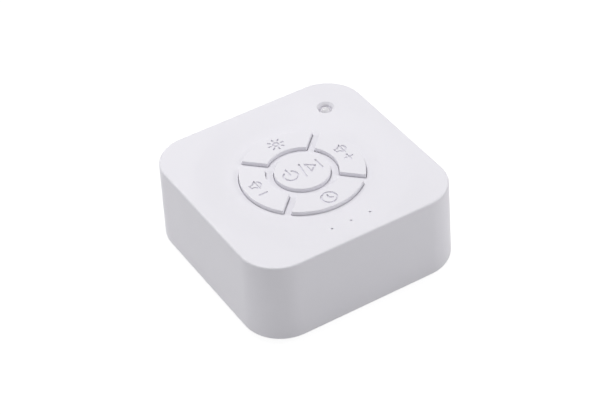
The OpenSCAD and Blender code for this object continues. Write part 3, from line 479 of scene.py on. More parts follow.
def add_node(tree, kind, sockets, **settings):
    """A shader node with its settings made and its sockets fed."""
    node = tree.nodes.new("ShaderNode" + kind)
    for name, value in settings.items():
        setattr(node, name, value)
    feed(tree, node, sockets)
    return node


def empty_tree(owner):
    """The node tree of a material or world, without its nodes."""
    owner.use_nodes = True
    owner.node_tree.nodes.clear()
    return owner.node_tree


def node_material(name):
    """A node material, with its shader and the object coordinates."""
    material = bpy.data.materials.get(name) or bpy.data.materials.new(name)
    tree = empty_tree(material)
    shader = add_node(tree, "BsdfPrincipled", {})
    add_node(tree, "OutputMaterial", {"Surface": shader.outputs["BSDF"]})
    return material, tree, shader, add_node(tree, "TexCoord", {}).outputs["Object"]


def noise(tree, vector, scale, detail=3, stretch=None):
    """Noise in features per metre, stretched along the axes if asked."""
    if stretch:
        vector = add_node(tree, "Mapping", {"Vector": vector, "Scale": stretch}).outputs["Vector"]
    return add_node(tree, "TexNoise", {"Vector": vector, "Scale": scale, "Detail": detail}).outputs["Fac"]


def ramp(tree, value, low, high, start=0.3, end=0.7):
    """Blends two colours over a range of a value."""
    node = add_node(tree, "ValToRGB", {"Fac": value})
    first, last = node.color_ramp.elements
    first.position, first.color = start, (*low, 1)
    last.position, last.color = end, (*high, 1)
    return node.outputs["Color"]


def grey_ramp(tree, value, low, high, start=0.3, end=0.7):
    """Blends two numbers, as greys, over a range of a value."""
    return ramp(tree, value, (low,) * 3, (high,) * 3, start, end)


def shade(base, factor):
    """A colour made darker or lighter: each part times a factor, and 1 at most."""
    return tuple(min(1.0, c * factor) for c in base)


def dress(tree, shader, tone, roughness, height, depth, values=None):
    """Links a shader's colour, roughness and a bump of a depth in metres, and sets other values."""
    bump = add_node(tree, "Bump", {"Height": height, "Distance": depth, "Strength": 1.0})
    sockets = {"Base Color": tone, "Roughness": roughness, "Normal": bump.outputs["Normal"]}
    feed(tree, shader, {**sockets, **(values or {})})


def moulded(
    name, base, gloss=0.42, grain=2600, depth=0.02 * MM, mottle=0.985, coat=0.0, clouds=38, sheen=160
):
    """Moulded plastic or rubber: a faint cloudy tone, a fine spark-eroded grain and a gloss that
    varies a little from place to place."""
    material, tree, shader, at = node_material(name)
    dress(
        tree, shader, ramp(tree, noise(tree, at, clouds), shade(base, mottle), base),
        grey_ramp(tree, noise(tree, at, sheen, 4), gloss - 0.04, gloss + 0.05),
        noise(tree, at, grain, 2), depth, {"IOR": 1.47, "Coat Weight": coat},
    )
    return material


def brushed(name, base, gloss=0.3, stretch=(1.0, 14.0, 1.0), metallic=1.0, scratches=900):
    """Plated or pressed metal: tone and gloss drawn out in one direction, with fine scratches."""
    material, tree, shader, at = node_material(name)
    grain = noise(tree, at, scratches, 4, stretch)
    dress(
        tree, shader, ramp(tree, grain, shade(base, 0.82), base),
        grey_ramp(tree, grain, gloss - 0.08, gloss + 0.14), grain, 0.008 * MM,
        {"Metallic": metallic},
    )
    return material


def woven(name, base, threads=1800, gloss=0.85, fuzz=700):
    """Cloth: two crossed sets of waves, one thread apart, with the tone of worn yarn."""
    material, tree, shader, at = node_material(name)
    yarn = {"Vector": at, "Scale": WAVE_LENGTH * threads, "Distortion": 0.4}
    warp, weft = (add_node(tree, "TexWave", yarn, bands_direction=way).outputs["Fac"] for way in "XY")
    both = add_node(tree, "Math", {0: warp, 1: weft}, operation="MAXIMUM").outputs[0]
    dress(
        tree, shader, ramp(tree, both, shade(base, 0.45), base, 0.2, 0.8),
        grey_ramp(tree, noise(tree, at, fuzz), gloss - 0.08, gloss + 0.08), both, 0.06 * MM,
    )
    return material


def celled(name, base, cells=900, depth=0.2 * MM, gloss=0.9):
    """Open foam, pressed paper or sintered powder: pores of a cell pattern."""
    material, tree, shader, at = node_material(name)
    pores = add_node(tree, "TexVoronoi", {"Vector": at, "Scale": cells}).outputs["Distance"]
    dress(
        tree, shader, ramp(tree, pores, shade(base, 0.55), base, 0.05, 0.6),
        grey_ramp(tree, pores, gloss, gloss - 0.12), pores, depth,
    )
    return material


def wound(name, base, rings=1250, sheen=500):
    """Copper winding: rings of wire stacked along the upright axis."""
    material, tree, shader, at = node_material(name)
    wires = add_node(tree, "TexWave", {"Vector": at, "Scale": rings}, bands_direction="Z").outputs["Fac"]
    dress(
        tree, shader, ramp(tree, wires, shade(base, 0.4), base),
        grey_ramp(tree, noise(tree, at, sheen), 0.25, 0.4), wires, 0.05 * MM, {"Metallic": 0.9},
    )
    return material


def solder_mask(name, base, tracks=260, track_width=0.05, sheen=400):
    """Board lacquer over copper: lighter where tracks run under it, with the weave of the glass."""
    material, tree, shader, at = node_material(name)
    tones = {"Color1": 1.0, "Color2": 1.15, "Mortar": 1.9}
    sockets = {socket: (*shade(base, tone), 1) for socket, tone in tones.items()}
    sockets |= {"Vector": at, "Scale": tracks, "Mortar Size": track_width}
    copper = add_node(tree, "TexBrick", sockets)
    dress(
        tree, shader, copper.outputs["Color"], grey_ramp(tree, noise(tree, at, sheen), 0.25, 0.4),
        copper.outputs["Fac"], 0.02 * MM,
    )
    return material


def clear_epoxy(name, tint, gloss, clearness, streaks=420):
    """Cast lens: lets light through, or spreads it when less clear, with a flow pattern in its
    tone and gloss."""
    material, tree, shader, at = node_material(name)
    flow = noise(tree, at, streaks, 2)
    dress(
        tree, shader, ramp(tree, flow, shade(tint, 0.97), tint),
        grey_ramp(tree, flow, gloss, gloss + 0.05), flow, 0.01 * MM,
        {"Transmission Weight": clearness, "IOR": 1.5},
    )
    return material


def make_finishes():
    """Every finish of the machine by its record slot."""
    tint = bpy.context.scene.machine_colours
    shell, keys, feet, cell = tuple(tint.shell), tuple(tint.keys), tuple(tint.feet), tuple(tint.cell)
    return {
        "shell_plastic": moulded("shell plastic", shell),
        "key_plastic": moulded("key plastic", keys, gloss=0.4, mottle=0.988),
        "foot_rubber": moulded("foot rubber", feet, gloss=0.75, grain=1500, depth=0.04 * MM, mottle=0.9),
        "screw_steel": brushed("zinc plated steel", (0.66, 0.67, 0.7), stretch=(6.0, 6.0, 1.0)),
        "clear_lens": clear_epoxy("diffusing epoxy", (0.93, 0.915, 0.95), gloss=0.06, clearness=0.16),
        "lamp_chip": moulded("lamp chip", (0.86, 0.82, 0.66), gloss=0.3, mottle=0.93, coat=0.4),
        "tinned_wire": brushed("tinned wire", (0.72, 0.72, 0.74), gloss=0.26, stretch=(1.0, 1.0, 8.0)),
        "board_green": solder_mask("solder mask", tuple(tint.board)),
        "switch_black": moulded("black nylon", (0.035, 0.035, 0.038), gloss=0.5, mottle=0.8),
        "chip_black": moulded("moulded epoxy package", (0.025, 0.025, 0.028), gloss=0.6, mottle=0.75),
        "can_steel": brushed("pressed can", (0.68, 0.69, 0.72), gloss=0.22),
        "socket_steel": brushed("stamped socket steel", (0.62, 0.63, 0.66), gloss=0.28),
        "connector_ivory": moulded("ivory nylon", (0.8, 0.76, 0.62), gloss=0.45, mottle=0.95),
        "cell_wrap": moulded(
            "shrink sleeve", cell, gloss=0.28, grain=300, depth=0.08 * MM, mottle=0.85, coat=0.3
        ),
        "foam_grey": celled("open foam", (0.05, 0.05, 0.055), cells=1300),
        "wire_insulation": moulded("wire insulation", (0.42, 0.02, 0.02), gloss=0.45, mottle=0.85),
        "speaker_steel": brushed("black zinc steel", (0.09, 0.09, 0.1), gloss=0.42, metallic=0.8),
        "speaker_rubber": moulded("moulded rubber", (0.03, 0.03, 0.032), gloss=0.6, mottle=0.8),
        "speaker_paper": celled("pressed paper", (0.05, 0.05, 0.052), cells=1800, depth=0.08 * MM),
        "speaker_coil": wound("copper winding", (0.75, 0.34, 0.12)),
        "spider_cloth": woven("impregnated cloth", (0.42, 0.24, 0.06)),
        "ferrite": celled("sintered ferrite", (0.06, 0.06, 0.065), cells=2600, depth=0.02 * MM, gloss=0.6),
        "tag_board": celled("phenolic strip", (0.16, 0.06, 0.02), cells=1500, depth=0.03 * MM, gloss=0.5),
        "dust_cloth": woven("fine mesh cloth", (0.02, 0.02, 0.022), threads=2400),
    }


# ---- Shell ----

# Radii of the rings on the level floor of the dish, and of the ring that closes a middle.
FLOOR_RINGS = [28 * MM, 20 * MM, 10 * MM]
MIDDLE_RING = 1 * MM
# Depths between which the cutters of the ports run, from behind the back wall to inside it.
PORT_CUT = (60 * MM, 43 * MM)
# Signs of the four corners, seen from above.
CORNERS = [(x, y) for x in (-1, 1) for y in (-1, 1)]


def dish_height(radius, sizes):
    """Rise of the dish over its floor at a radius: a parabola, a straight slope, a parabola."""
    span = sizes.dish_radius - sizes.dish_floor
    slope = sizes.dish_depth / (span - sizes.dish_blend)
    out = np.clip(radius - sizes.dish_floor, 0, span)
    left = span - out
    foot = slope * out**2 / (2 * sizes.dish_blend)
    head = sizes.dish_depth - slope * left**2 / (2 * sizes.dish_blend)
    middle = slope * (out - sizes.dish_blend / 2)
    return np.where(out < sizes.dish_blend, foot, np.where(left < sizes.dish_blend, head, middle))


def shell_rings(sizes):
    """Rings of the whole shell, from the middle of the ceiling outwards, down the inner wall,
    across the bottom edge, up the outside, over the rim and down the dish to its middle.
    The sides are offsets of one square; the dish rings are circles, and between them the level
    land blends one into the other along straight lines."""
    base, rim = SHELL_LOW.z, SHELL_HIGH.z
    floor = rim - sizes.dish_depth
    under = floor - sizes.plate
    ceiling = under + sizes.ceiling_relief
    plate = sizes.dish_floor + sizes.plate_edge
    bottom = sizes.top_radius + sizes.draft
    spoke = rounded_square(sizes.corner_axis, sizes.top_radius)
    spoke /= np.linalg.norm(spoke, axis=1)[:, None]

    def square(radius, z):
        return lifted(rounded_square(sizes.corner_axis, radius), z)

    rings = [lifted(spoke * r, under) for r in (MIDDLE_RING, plate * 0.5, plate)]
    rings.append(lifted(spoke * plate, ceiling))
    rings.append(square(sizes.top_radius - sizes.wall_top, ceiling))
    rings.append(square(bottom - sizes.wall_bottom, base))
    rings += [square(r, z) for r, z in quarter_turn(bottom, base, sizes.bottom_edge, 12, rising=False)]
    low, high = base + sizes.bottom_edge, rim - sizes.top_edge
    rings += [square(bottom - sizes.draft * w, low + (high - low) * w) for w in np.linspace(0, 1, 7)[1:-1]]
    rings += [square(r, z) for r, z in quarter_turn(sizes.top_radius, rim, sizes.top_edge, 9, rising=True)]
    land = rounded_square(sizes.corner_axis, sizes.top_radius - sizes.top_edge)
    rings += [lifted((1 - w) * land + w * spoke * sizes.dish_radius, rim) for w in (0.35, 0.7)]
    radii = [*np.linspace(sizes.dish_radius, sizes.dish_floor, 34), *FLOOR_RINGS, MIDDLE_RING]
    rings += [lifted(spoke * r, floor + dish_height(r, sizes)) for r in radii]
    return rings


def aperture(name, low, floor, sizes, keys):
    """Cutter for one key: straight up to just under the dish floor, then a small flare."""
    edge = sizes.aperture_edge
    straight, wide = (key_outline(name, sizes.key_gap + grow, keys, 128) for grow in (0, edge))
    steps = [(straight, low), (straight, floor - edge), (wide, floor), (wide, floor + 4 * MM)]
    return grid_mesh("aperture", [lifted(outline, z) for outline, z in steps])


def boss(outer, inner, low, high, at, count=40):
    """A tube with open bore, closed into a ring-shaped solid."""
    profile = [(inner, high), (inner, low), (outer, low), (outer, high)]
    return grid_mesh("boss", revolved(profile, count, at), closed=True)


class MACHINE_OT_shell(bpy.types.Operator):
    """Moulded housing with its dish, key apertures, lamp recess, pinholes and sockets"""

    bl_idname = "machine.shell"
    bl_label = "Shell"

    def execute(self, context):
        scene = context.scene
        sizes = scene.machine_shell
        shell = add_piece("smooth_shell", grid_mesh("smooth_shell", shell_rings(sizes)))
        rim = SHELL_HIGH.z
        floor = rim - sizes.dish_depth
        low = floor - sizes.plate - 1 * MM
        cutters = [aperture(name, low, floor, sizes, scene.machine_keys) for name in KEY_BODIES]
        lamp = box_middle(LENS_LOW, LENS_HIGH)
        cutters.append(grid_mesh("recess", revolved(self.recess(sizes), 72, lamp)))
        pin = [(sizes.pinhole_radius, rim - 8 * MM), (sizes.pinhole_radius, rim + 2 * MM)]
        pinholes = [(k * sizes.pinhole_step, -sizes.pinhole_front) for k in (-1, 0, 1)]
        cutters += [grid_mesh("pinhole", revolved(pin, 28, at)) for at in pinholes]
        cutters += self.ports(sizes)
        carve(shell, joined("shell_cutters", cutters))
        inside = self.inside(sizes, scene.machine_inside, lamp, pinholes)
        swap_mesh(shell, joined("smooth_shell", [shell.data.copy(), *inside]))
        soften(shell, 28)
        place(shell, "housing", "shell_plastic", "top_housing")
        return {"FINISHED"}

    @staticmethod
    def recess(sizes):
        """Radius and height of the recess: the lens hole, a level seat, an upright wall and a mouth
        that opens at 45 degrees."""
        rim, radius, flare, foot = SHELL_HIGH.z, sizes.recess_radius, sizes.recess_flare, sizes.recess_foot
        seat, bend = rim - sizes.recess_depth, 0.1 * MM
        return [
            (sizes.lens_hole, seat - 6 * MM), (sizes.lens_hole, seat), (radius - foot, seat),
            (radius, seat + foot), (radius, rim - flare - 1.5 * bend),
            (radius + bend, rim - flare + 0.5 * bend), (radius + 2 * flare, rim + flare),
        ]

    @staticmethod
    def ports(sizes):
        """Cutters through the back wall: a slot with round ends for the charging socket, and a round
        hole for the nose of the headphone socket."""
        low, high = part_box("usb_socket_shell")
        middle = np.array([(low.x + high.x) / 2, (low.z + high.z) / 2])
        h = (high.z - low.z) / 2 + sizes.port_gap
        w = (high.x - low.x) / 2 + sizes.port_gap
        end = [w - h, 0] + h * unit(turns(25, -math.pi / 2, math.pi / 2))
        slot = np.concatenate([middle + end, middle - end])
        hole = circle_outline(sizes.jack_hole, 56, (JACK_PLACE[0], JACK_PLACE[2]))
        outlines = [[np.insert(line, 1, y, axis=1) for y in PORT_CUT] for line in (slot, hole)]
        return [grid_mesh("port", rings) for rings in outlines]

    @staticmethod
    def inside(sizes, inner, lamp, pinholes):
        """Screw bosses, the lamp's cup and tube, and the guides under the pinholes."""
        rim, hole = SHELL_HIGH.z, sizes.lens_hole
        top = rim - sizes.dish_depth - sizes.plate + sizes.ceiling_relief + inner.root
        cup = rim - sizes.recess_depth - inner.cup_wall
        p, side, depth = inner.case_place, inner.board_side, inner.board_depth
        parts = [
            boss(inner.case_boss, inner.case_hole, inner.case_foot, top, (x * p, y * p)) for x, y in CORNERS
        ]
        parts += [
            boss(inner.board_boss, inner.board_hole, BOARD_TOP, top, (x * side, y * depth))
            for x, y in CORNERS
        ]
        parts.append(boss(sizes.recess_radius + inner.cup_wall, hole, cup, top, lamp))
        parts.append(boss(inner.tube, hole, LENS_LOW.z + 1 * MM, cup, lamp))
        guide_foot = top - inner.guide_length
        return parts + [boss(inner.guide, sizes.pinhole_radius, guide_foot, top, at) for at in pinholes]


# ---- Keys ----

# The body of each key. The four after the first are the ring keys, anticlockwise from the back.
KEY_BODIES = {
    "power_key": "power_button",
    "light_key": "light_button",
    "volume_down_key": "volume_down_button",
    "timer_key": "timer_button",
    "volume_up_key": "volume_up_button",
}
RING_KEYS = list(KEY_BODIES)[1:]


def key_outline(name, grow, sizes, count=144):
    """A key's outline seen from above, moved outwards by grow."""
    if name not in RING_KEYS:
        return circle_outline(sizes.middle_radius + grow, count)
    turn = RING_KEYS.index(name) * math.pi / 2
    return sector_outline(sizes.ring_inner, sizes.ring_outer, sizes.ring_gap, sizes.plan_corner, grow, turn)


def sign_cutter(shape, low, high):
    """Cutter for one outline, or for the band between two outlines."""
    if isinstance(shape, tuple):
        outer, inner = shape
        rings = [lifted(inner, high), lifted(inner, low), lifted(outer, low), lifted(outer, high)]
        return grid_mesh("sign", rings, closed=True)
    return grid_mesh("sign", [lifted(shape, low), lifted(shape, high)])


def sign_shapes(w):
    """The signs by key, in layers whose shapes don't touch: a power ring, slash, triangle and bar
    on the middle key, a sun at the back, a loudspeaker with minus or plus at the sides, and a
    clock at the front. Places are in millimetres from the middle of the pad."""

    def stroke(*route):
        return stroke_outline(np.array(route) * MM, w)

    def arc(centre, radius, start, end):
        return stroke(*(centre + radius * unit(np.radians(np.linspace(start, end, 40)))))

    def ring(centre, radius):
        at = np.array(centre) * MM
        return circle_outline(radius * MM + w / 2, 48, at), circle_outline(radius * MM - w / 2, 48, at)

    def loudspeaker(x, y):
        shape = np.array([[-2.2, -0.9], [-0.9, -0.9], [0.9, -2.4], [0.9, 2.4], [-0.9, 0.9], [-2.2, 0.9]])
        return outline_pair((shape + [x, y]) * MM, 0.8 * w)

    sun = np.array([0, 21.4])
    rays = [stroke(sun + 2.55 * way, sun + 3.5 * way) for way in unit(turns(8))]
    triangle = np.array([[3.0, -2.7], [6.3, 0], [3.0, 2.7]]) * MM
    return {
        "power_key": [
            [arc((-5.7, -0.2), 3.1, 125, 415), stroke((0.9, 4.2), (-0.5, -4.2)), outline_pair(triangle, w),
             stroke((8.3, 3.0), (8.3, -3.0)), stroke((-5.7, 0.2), (-5.7, 4.2))],
        ],
        "light_key": [[ring(sun, 1.2)] + rays],
        "volume_down_key": [
            [loudspeaker(-21.4, 2.9), arc((-20.6, 2.9), 1.9, -55, 55),
             stroke((-22.9, -3.4), (-19.3, -3.4))],
        ],
        "volume_up_key": [
            [loudspeaker(20.6, 2.9), arc((21.4, 2.9), 1.9, -55, 55), stroke((19.3, -3.4), (22.9, -3.4))],
            [stroke((21.1, -5.2), (21.1, -1.6))],
        ],
        "timer_key": [
            [ring((0, -21.2), 3.3), stroke((0, -21.2), (0, -19.5))],
            [stroke((0, -21.2), (1.4, -22.0))],
        ],
    }


class MACHINE_OT_keys(bpy.types.Operator):
    """Round middle key and four ring keys, each with a skirt, a flange, a stem and its sign"""

    bl_idname = "machine.keys"
    bl_label = "Keys"

    def execute(self, context):
        sizes = context.scene.machine_keys
        signs = sign_shapes(sizes.sign_width)
        for name, body in KEY_BODIES.items():
            cap = add_piece(name + "_cap", self.cap_mesh(name, sizes, context.scene.machine_shell))
            for layer in signs[name]:
                foot = KEY_TOP - sizes.sign_depth
                cutters = [sign_cutter(shape, foot, KEY_TOP + 1 * MM) for shape in layer]
                carve(cap, joined("signs", cutters))
            swap_mesh(cap, joined(name + "_cap", [cap.data.copy(), self.stem(name, sizes)]))
            soften(cap)
            place(cap, body, "key_plastic", name)
        return {"FINISHED"}

    @staticmethod
    def cap_mesh(name, sizes, shell):
        """Rings of one key: down the wall of its hollow, round the flange, up the skirt and over
        a rounded edge to the level top. A ring key's hollow is inset by no more than its corners
        are rounded."""
        flange_top = SHELL_HIGH.z - shell.dish_depth - shell.plate - shell.flange_gap
        bottom = flange_top - sizes.flange_height
        inner = -min(sizes.skirt, sizes.plan_corner) if name in RING_KEYS else -sizes.skirt
        steps = [
            (inner, KEY_TOP - sizes.cap), (inner, bottom), (sizes.flange, bottom),
            (sizes.flange, flange_top), (0.0, flange_top), (0.0, (flange_top + KEY_TOP) / 2),
            *quarter_turn(0.0, KEY_TOP, sizes.top_edge, 8, rising=True),
        ]
        return grid_mesh(name + "_cap", [lifted(key_outline(name, grow, sizes), z) for grow, z in steps])

    @staticmethod
    def stem(name, sizes):
        """Round stem from the switch into the top of the key."""
        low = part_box(name)[0].z
        middle = (0.0, 0.0)
        if name in RING_KEYS:
            turn = (1 + RING_KEYS.index(name)) * math.pi / 2
            middle = (sizes.ring_inner + sizes.ring_outer) / 2 * unit(turn)
        profile = [
            (sizes.stem - sizes.stem_edge, low), (sizes.stem, low + sizes.stem_edge),
            (sizes.stem, KEY_TOP - sizes.cap + sizes.stem_root),
        ]
        return grid_mesh("stem", revolved(profile, 40, middle))


# ---- Night light, feet and cloth ----

# Radius of the small face that closes the middle of a turned shape.
POLE = 0.2 * MM
# Radius and height over the foot of the lens, round the lamp's reflector cup.
REFLECTOR = np.array([(0.5, 0.4), (0.5, 3.6), (1.15, 4.2), (1.25, 5.0), (1.05, 5.0), (0.7, 4.4)]) * MM
FEET = ("foot_front_left", "foot_front_right", "foot_back_left", "foot_back_right")


class MACHINE_OT_night_light(bpy.types.Operator):
    """Clear night light with its collar and the reflector cup inside it"""

    bl_idname = "machine.night_light"
    bl_label = "Night Light"

    def execute(self, context):
        sizes = context.scene.machine_small_parts
        at = box_middle(LENS_LOW, LENS_HIGH)
        low, high, r, edge = LENS_LOW.z, LENS_HIGH.z, sizes.lens_radius, sizes.collar_edge
        collar, collar_top = r + sizes.collar, low + sizes.collar_height
        dome = [0, high - r] + r * unit(np.linspace(0, math.radians(88), 22))
        profile = [(r + edge, low), (collar, low + edge), (collar, collar_top), (r, collar_top), *dome]
        add_turned("night_light_dome", profile, 72, at, "clear_lens", "night_light_lens")
        add_turned("night_light_cup", REFLECTOR + [0, low], 40, at, "lamp_chip")
        return {"FINISHED"}


class MACHINE_OT_feet(bpy.types.Operator):
    """Four rubber feet with a rounded edge and a slightly hollow face"""

    bl_idname = "machine.feet"
    bl_label = "Feet"

    def execute(self, context):
        sizes = context.scene.machine_small_parts
        hollow = sizes.foot_hollow
        for name in FEET:
            low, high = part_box(name)
            r = (high.x - low.x) / 2
            face = [(POLE, low.z + hollow), (0.6 * r, low.z + 0.8 * hollow), (0.72 * r, low.z)]
            edge = quarter_turn(r, low.z, sizes.foot_edge, 8, rising=False)
            profile = face + edge + [(r, high.z), (POLE, high.z)]
            add_turned(name + "_pad", profile, 64, box_middle(low, high), "foot_rubber", name)
        return {"FINISHED"}


class MACHINE_OT_cloth(bpy.types.Operator):
    """Fine mesh cloth that keeps dust out of the speaker, stretched flat behind the grille"""

    bl_idname = "machine.cloth"
    bl_label = "Speaker Cloth"

    def execute(self, context):
        crown = context.scene.machine_small_parts.cloth_crown
        low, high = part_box("speaker_dust_screen")
        r = (high.x - low.x) / 2
        shares = np.array([0.02, 0.5, 0.9, 1.0])
        lower = [(r * q, low.z + crown * (1 - q**2)) for q in shares]
        upper = [(r * q, high.z - crown * q**2) for q in shares[::-1]]
        at = box_middle(low, high)
        cloth = add_turned("speaker_cloth", lower + upper, 64, at, "dust_cloth", "speaker_dust_screen")
        return {"FINISHED"}


# ---- Speaker ----


class MACHINE_OT_suspension(bpy.types.Operator):
    """Rubber surround and pleated cloth spider, each cut into equal sectors"""

    bl_idname = "machine.suspension"
    bl_label = "Speaker Suspension"

    def execute(self, context):
        sizes = context.scene.machine_speaker
        low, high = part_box("speaker_cone")
        axis = np.array(box_middle(low, high))
        cone = (high.x - low.x) / 2
        fixed, count = sizes.waist - sizes.rim, sizes.sectors
        roll, pleated = self.roll_loop(cone, sizes), self.pleated_loop(fixed, sizes)
        self.ring("speaker_surround", roll, axis, cone + sizes.roll, cone, count)
        self.ring("speaker_spider", pleated, axis, fixed, sizes.neck, count)
        return {"FINISHED"}

    @staticmethod
    def roll_loop(cone, sizes):
        """Radius and height round the surround's section: the upper face outwards, with a half
        circle that hangs between two flat edges, and the lower face back, one skin below."""
        low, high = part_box("speaker_surround")
        rim, half, under = (high.x - low.x) / 2, sizes.roll / 2, high.z - sizes.skin
        below = unit(np.linspace(math.pi, 2 * math.pi, 25))
        upper = [cone + half, high.z] + (half - sizes.skin) * below
        lower = [cone + half, under] + half * below[::-1]
        lip = cone - sizes.lip
        edge = [(rim, high.z), (rim, under)]
        return np.concatenate([[(lip, high.z)], upper, edge, lower, [(lip, under)]])

    @staticmethod
    def pleated_loop(fixed, sizes):
        """Radius and height round the spider's section: a cosine wave between the former and the
        glued edge, then that edge, and the same wave back, one skin below."""
        low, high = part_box("speaker_spider")
        rim = (high.x - low.x) / 2
        r = np.linspace(sizes.neck, fixed, 8 * sizes.pleats + 1)
        phase = math.pi * sizes.pleats * (r - sizes.neck) / (fixed - sizes.neck)
        wave = np.stack([r, low.z + sizes.pleat * (1 - np.cos(phase)) / 2], axis=1)
        edge = [(sizes.waist, high.z), (rim, high.z), (rim, high.z - sizes.rim)]
        return np.concatenate([wave + [0, sizes.skin], edge, wave[::-1]])

    @staticmethod
    def ring(name, loop, axis, fixed, moving, count):
        """A section carried round the axis in equal sectors, each a piece of its own.
        The fixed and moving radii are not used."""
        half = math.pi / count
        for k in range(count):
            ways = unit(2 * half * k + np.linspace(-half, half, 7))
            title = f"{name}_{k + 1:02d}"
            rings = [lifted(axis + loop[:, :1] * way, loop[:, 1]) for way in ways]
            piece = add_piece(title, grid_mesh(title, rings))
            piece.data.materials.append(FINISHES[SLOT_OF_NODE[name]])
            soften(piece)
            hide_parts(name)
            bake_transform(piece)


class MACHINE_OT_finishes(bpy.types.Operator):
    """Procedural finishes for every node that keeps its own shape"""

    bl_idname = "machine.finishes"
    bl_label = "Finishes"

    def execute(self, context):
        for name, node in frame["nodes"].items():
            node.data.materials.clear()
            node.data.materials.append(FINISHES[SLOT_OF_NODE[name]])
        return {"FINISHED"}


# ---- Stage ----

# Place and width of each lamp, and the point that all of them face.
LAMPS = {
    "top lamp": ((-0.05, 0.35, 0.7), 0.5),
    "left lamp": ((-0.85, 0.3, 0.45), 0.5),
    "right lamp": ((0.45, -0.35, 0.45), 0.3),
}
LAMP_AIM = Vector((0, 0, 0.03))
# The floor lies this far under the feet.
FLOOR_DROP = 0.05 * MM


def split_by_ray(tree, output, lighting, seen):
    """Gives a material or world one shader for the light that falls on the machine, and another
    where a camera, mirror or clear-piece ray looks."""
    path = add_node(tree, "LightPath", {})
    looks = path.outputs["Is Camera Ray"]
    for name in ("Is Glossy Ray", "Is Transmission Ray"):
        either = {0: looks, 1: path.outputs[name]}
        looks = add_node(tree, "Math", either, operation="ADD", use_clamp=True).outputs[0]
    mix = add_node(tree, "MixShader", {"Fac": looks, 1: lighting.outputs[0], 2: seen.outputs[0]})
    add_node(tree, output, {"Surface": mix.outputs[0]})


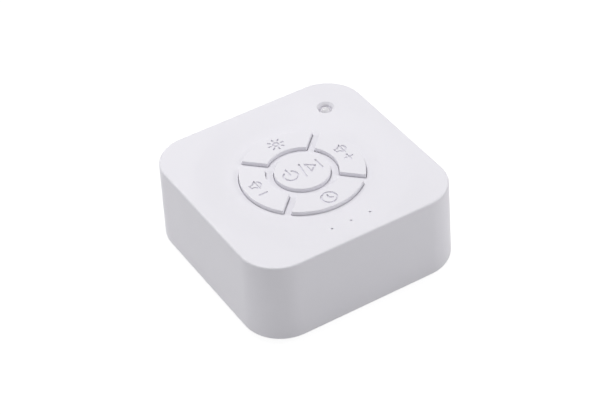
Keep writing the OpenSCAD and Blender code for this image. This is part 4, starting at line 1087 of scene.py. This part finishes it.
class MACHINE_OT_stage(bpy.types.Operator):
    """Camera, soft lamps, white surroundings and a pale floor"""

    bl_idname = "machine.stage"
    bl_label = "Stage"

    def execute(self, context):
        settings = context.scene.machine_stage
        self.camera(context.scene, settings)
        self.floor(settings)
        self.world(context.scene, settings)
        for name, (at, size) in LAMPS.items():
            self.lamp(name, Vector(at), size, getattr(settings, name.replace(" ", "_")))
        context.scene.view_settings.view_transform = "Standard"
        return {"FINISHED"}

    @staticmethod
    def camera(scene, settings):
        """The camera looks at a point over the middle; its own axis is rolled a little."""
        az, el, roll = settings.azimuth, settings.elevation, settings.roll
        back = Vector((math.sin(az) * math.cos(el), -math.cos(az) * math.cos(el), math.sin(el)))
        right = Vector((math.cos(az), math.sin(az), 0))
        up = back.cross(right)
        right, up = (
            right * math.cos(roll) + up * math.sin(roll),
            up * math.cos(roll) - right * math.sin(roll),
        )
        data = bpy.data.cameras.new("camera")
        data.lens, data.sensor_width = settings.lens, 36
        data.shift_x, data.shift_y = settings.shift_x, settings.shift_y
        place_at = Vector((0, 0, settings.look_height)) + back * settings.distance
        scene.camera = add_piece("camera", data)
        scene.camera.matrix_world = (
            Matrix.Translation(place_at) @ Matrix((right, up, back)).transposed().to_4x4()
        )

    @staticmethod
    def floor(settings):
        """A level square of evenly stepped quads. It lights the machine as a pale grey floor does,
        and the camera sees a dark floor with a glow, which looks white and keeps the shadow."""
        n, half = settings.floor_steps, settings.floor_half
        side = np.linspace(-half, half, n + 1)
        x, y = np.meshgrid(side, side)
        points = lifted(np.column_stack([x.ravel(), y.ravel()]), -FLOOR_DROP)
        index = np.arange((n + 1) ** 2).reshape(n + 1, n + 1)
        quads = np.stack([index[:-1, :-1], index[:-1, 1:], index[1:, 1:], index[1:, :-1]], axis=-1)
        floor = add_piece("floor", new_mesh("floor", points, quads.reshape(-1, 4).tolist()))
        material = bpy.data.materials.new("pale floor")
        tree = empty_tree(material)
        pale = add_node(tree, "BsdfDiffuse", {"Color": (0.74, 0.74, 0.75, 1)})
        dark = add_node(tree, "BsdfDiffuse", {"Color": (0.2, 0.2, 0.2, 1)})
        glow = add_node(tree, "Emission", {"Strength": 0.9})
        both = add_node(tree, "AddShader", {0: dark.outputs[0], 1: glow.outputs[0]})
        split_by_ray(tree, "OutputMaterial", pale, both)
        floor.data.materials.append(material)

    @staticmethod
    def world(scene, settings):
        """Even light from all round, and white where the camera looks past the floor."""
        scene.world = bpy.data.worlds.new("surroundings")
        tree = empty_tree(scene.world)
        light, seen = (
            add_node(tree, "Background", {"Color": (1, 1, 1, 1), "Strength": strength})
            for strength in (settings.sky, 1.0)
        )
        split_by_ray(tree, "OutputWorld", light, seen)

    @staticmethod
    def lamp(name, at, size, power):
        """A square soft lamp that faces the middle of the machine."""
        data = bpy.data.lights.new(name, "AREA")
        data.size, data.energy = size, power
        lamp = add_piece(name, data)
        lamp.location = at
        lamp.rotation_euler = (LAMP_AIM - at).to_track_quat("-Z", "Y").to_euler()


OPERATORS = (
    MACHINE_OT_finishes, MACHINE_OT_shell, MACHINE_OT_keys, MACHINE_OT_night_light, MACHINE_OT_feet,
    MACHINE_OT_cloth, MACHINE_OT_suspension, MACHINE_OT_stage,
)


class MACHINE_PT_panel(bpy.types.Panel):
    """Sizes and colours of the machine, and a button for each group of pieces"""

    bl_idname = "MACHINE_PT_panel"
    bl_label = "Sound Machine"
    bl_space_type = "VIEW_3D"
    bl_region_type = "UI"
    bl_category = "Sound Machine"

    def draw(self, context):
        for operator in OPERATORS:
            self.layout.operator(operator.bl_idname)
        for name, group in GROUPS.items():
            box = self.layout.box()
            box.label(text=group.__doc__)
            for field in group.__annotations__:
                box.prop(getattr(context.scene, name), field)


CLASSES = (*GROUPS.values(), *OPERATORS, MACHINE_PT_panel)
FINISHES = {}


def register():
    for cls in CLASSES:
        bpy.utils.register_class(cls)
    for name, group in GROUPS.items():
        setattr(bpy.types.Scene, name, PointerProperty(type=group))


def unregister():
    for name in GROUPS:
        delattr(bpy.types.Scene, name)
    for cls in reversed(CLASSES):
        bpy.utils.unregister_class(cls)


def main():
    register()
    FINISHES.update(make_finishes())
    bpy.ops.machine.finishes()
    bpy.ops.machine.shell()
    bpy.ops.machine.keys()
    bpy.ops.machine.night_light()
    bpy.ops.machine.feet()
    bpy.ops.machine.cloth()
    bpy.ops.machine.suspension()
    bpy.ops.machine.stage()


if __name__ == "__main__":
    main()
